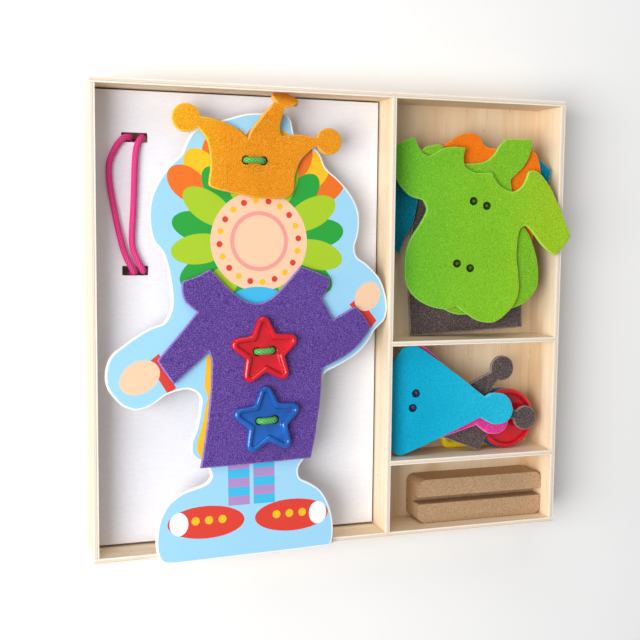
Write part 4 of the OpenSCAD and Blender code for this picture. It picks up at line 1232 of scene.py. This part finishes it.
grey_line = union([smooth([p if len(p) > 2 else (p[0], max(p[1], 198)) for p in jester_left + jester_mid_pts + jester_right], 5)[::-1],
                   circle(-86.9, 237, 7.7, 56), circle(-6.6, 226.6, 7.4, 56), circle(-32.6, 250, 7.6, 56)])
felt_piece("felt_jester_hat_charcoal", "charcoal_hat", "charcoal_felt", [laid_hat(p) for p in grey_line],
           [tuple(laid_hat(V2(*h))) for h in hat_holes], on_hats(0), charcoal, ["round_button_red_look"])
cone_pts = [(-1, -54), (-1, -42), (0.5, -31), (2.5, -26), (5.5, -21), (8, -18), (11.5, -17),
    (16, -17), (20, -19), (30, -26), (45, -37), (60, -48.5, 1), (64, -46.5), (68.5, -46.5), (73, -47.5),
    (76.5, -51), (78, -54.5), (78.5, -58), (77, -62), (74, -64.5), (70.5, -65.5), (66, -65.5),
    (61.5, -63.5), (57.5, -61, 1), (45, -66.5), (30, -73), (18, -78), (12, -80.5), (8.5, -82),
    (5.5, -82), (3, -80), (1, -76.5), (-0.5, -66)]
cone_holes = [V2(15.8, -45), V2(14, -53.6)]


def under(p):
    a, d = math.radians(-7), p - V2(10, -50)
    return V2(10 + d.x * math.cos(a) - d.y * math.sin(a), -49.3 + d.x * math.sin(a) + d.y * math.cos(a))


felt_piece("felt_cone_hat_pink", "pink_hat", "pink_felt",
           [under(p) for p in smooth([(78 + 0.975 * (p[0] - 78),) + tuple(p[1:]) for p in cone_pts], 5)],
           [tuple(under(h + V2(-2.9, -1.2))) for h in cone_holes], on_hats(1), pink, ["felt_jester_hat_charcoal_look"])
felt_piece("felt_cone_hat_blue", "blue_hat", "blue_felt", smooth(cone_pts, 5), [tuple(h) for h in cone_holes],
           on_hats(2), blue, ["felt_cone_hat_pink_look"])

# ---- buttons ---------------------------------------------------------------------------------
def star_line(r, q, tip, k=8):
    """Five arms with round tips and straight flanks that meet in softened notches."""
    c, n = r - tip, V2(q * math.cos(math.radians(36)), q * math.sin(math.radians(36)))
    d = n - V2(c, 0)
    e = math.atan2(d.y, d.x) - math.acos(tip / d.length)
    arm = [V2(c + tip * math.cos(e * j / k), tip * math.sin(e * j / k)) for j in range(-k, k + 1)]
    u = (arm[-1] - n).normalized()
    m = V2(math.cos(math.radians(36)), math.sin(math.radians(36)))
    v = 2 * m * u.dot(m) - u
    arm += [arm[-1].lerp(n, 0.4), arm[-1].lerp(n, 0.75)]
    arm += [n + u * 1.0, n + (u + v) * 0.28, n + v * 1.0]
    w = [2 * m * arm[j].dot(m) - arm[j] for j in (2 * k + 2, 2 * k + 1)]
    arm += w
    out = []
    for i in range(5):
        t = math.radians(90 + 72 * i)
        out += [V2(x.x * math.cos(t) - x.y * math.sin(t), x.x * math.sin(t) + x.y * math.cos(t)) for x in arm]
    return out


RIM = [(0.10, 0.0), (0.03, 0.12), (0.0, 0.45), (0.0, 2.35), (0.03, 2.95), (0.11, 3.45), (0.24, 3.8), (0.42, 3.98), (0.60, 3.94),
       (0.78, 3.68), (0.91, 3.25), (0.98, 2.8), (1.02, 2.42), (1.08, 2.16), (1.18, 2.02), (1.34, 2.0)]


def star_button(node, body, slot, place, mat):
    a, b = star_line(19.3, 11.6, 3.6), star_line(15.9, 7.6, 1.0)
    rings = [([p.lerp(q, t) for p, q in zip(a, b)], z) for t, z in RIM[:-2] + [(1.12, 2.03), (1.18, 2.0)]]
    o = ring_solid(node + "_look", rings, [(-4.5, 0.2, 2.3), (4.5, 0.2, 2.3)], FLOOR, place, [mat])
    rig.ride(o, body)
    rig.replaces(o, node)
    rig.slot(o, slot)


ROUND = [(0.10, 0.0), (0.03, 0.12), (0.0, 0.45), (0.0, 2.2), (0.04, 2.8), (0.13, 3.3), (0.27, 3.7), (0.45, 3.93), (0.60, 3.98),
         (0.69, 3.9), (0.75, 3.6), (0.81, 3.0), (0.87, 2.3), (0.93, 1.75), (1.0, 1.5), (1.14, 1.42)]


def round_button(node, body, slot, place, mat):
    rings = [(circle(0, 0, 18.4 - 3.5 * t, 96), z) for t, z in ROUND]
    o = ring_solid(node + "_look", rings, [(-4.5, 0, 2.3), (4.5, 0, 2.3)], 1.42, place, [mat])
    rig.ride(o, body)
    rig.replaces(o, node)
    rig.slot(o, slot)


def round_square(half, r, n=14):
    pts = []
    for cx, cy, a0 in ((1, 1, 0), (-1, 1, 90), (-1, -1, 180), (1, -1, 270)):
        for i in range(n + 1):
            t = math.radians(a0 + 90 * i / n)
            pts.append(V2(cx * (half - r) + r * math.cos(t), cy * (half - r) + r * math.sin(t)))
    return pts


def square_button(node, body, slot, place, mat):
    rings = [(round_square(19 - 4.6 * t, 4.5 - 2.6 * t), z) for t, z in RIM]
    o = ring_solid(node + "_look", rings, [(-4.5, 0, 2.3), (4.5, 0, 2.3)], FLOOR, place, [mat])
    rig.ride(o, body)
    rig.replaces(o, node)
    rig.slot(o, slot)


red_plastic = plastic_material("red_plastic_look", (222, 22, 40), (196, 14, 32))
blue_plastic = plastic_material("blue_plastic_look", (22, 104, 196), (14, 76, 158))
yellow_plastic = plastic_material("yellow_plastic_look", (250, 222, 14), (238, 200, 4))


def at(m):
    return lambda x, y, z: m @ Vector((x, y, z))


star_button("star_button_red", "worn_red_star", "red_plastic", at(FIG @ T(red_c.x, red_c.y, STAR_Z) @ R(3, "Z")), red_plastic)
star_button("star_button_blue", "worn_blue_star", "blue_plastic", at(FIG @ T(blue_c.x, blue_c.y, STAR_Z) @ R(3, "Z")), blue_plastic)
square_button("square_button_yellow", "yellow_square", "yellow_plastic", at(T(92.3, -63.65, 7.6)), yellow_plastic)
round_button("round_button_yellow", "yellow_round", "yellow_plastic", at(T(93, -63.9, 3.3) @ R(90, "Z")), yellow_plastic)
round_button("round_button_blue", "blue_round", "blue_plastic", at(T(110.8, -64.3, 11.9) @ R(120, "Z")), blue_plastic)
round_button("round_button_red", "red_round", "red_plastic", at(T(113.3, -64.2, 16.2) @ R(30, "Z")), red_plastic)

# ---- floor and light ---------------------------------------------------------------------------
bm = bmesh.new()
bmesh.ops.create_grid(bm, x_segments=8, y_segments=8, size=3.0)
me = bpy.data.meshes.new("floor")
bm.to_mesh(me)
bm.free()
floor = bpy.data.objects.new("floor", me)
floor.location = (0, 0, -0.0002)
scene.collection.objects.link(floor)
fm = Nodes("floor_look", Roughness=0.9)
fm.out(fm.ramp(fm.noise(4, 2.0, 0.5), [(0.3, lin(252, 252, 252)), (0.7, lin(254, 254, 254))]), "Base Color")
me.materials.append(fm.mat)
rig.stage(floor)

world = bpy.data.worlds.new("studio")
world.use_nodes = True
world.node_tree.nodes["Background"].inputs["Color"].default_value = (0.985, 0.985, 1.0, 1)
world.node_tree.nodes["Background"].inputs["Strength"].default_value = 0.34
scene.world = world


def area_light(name, place, target, size, power, color=(1, 1, 1)):
    d = bpy.data.lights.new(name, "AREA")
    d.shape = "DISK"
    d.size = size
    d.energy = power
    d.color = color
    o = bpy.data.objects.new(name, d)
    o.location = place
    o.rotation_euler = (Vector(target) - Vector(place)).to_track_quat("-Z", "Y").to_euler()
    scene.collection.objects.link(o)


area_light("key", (-0.95, -0.08, 0.95), (0.0, 0.0, 0.0), 0.95, 16.6, (1.0, 0.995, 0.985))
area_light("fill", (-0.3, 1.4, 0.85), (0.0, 0.0, 0.0), 1.0, 5.4, (1.0, 0.99, 0.97))
area_light("side", (-1.6, 0.1, 0.28), (0.0, 0.0, 0.02), 0.5, 5.5, (1.0, 0.995, 0.985))

lo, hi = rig.bounds()
with open("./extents.json", "w") as f:
    json.dump({"cad": [list(cad_lo), list(cad_hi)], "visual": [list(lo), list(hi)]}, f)
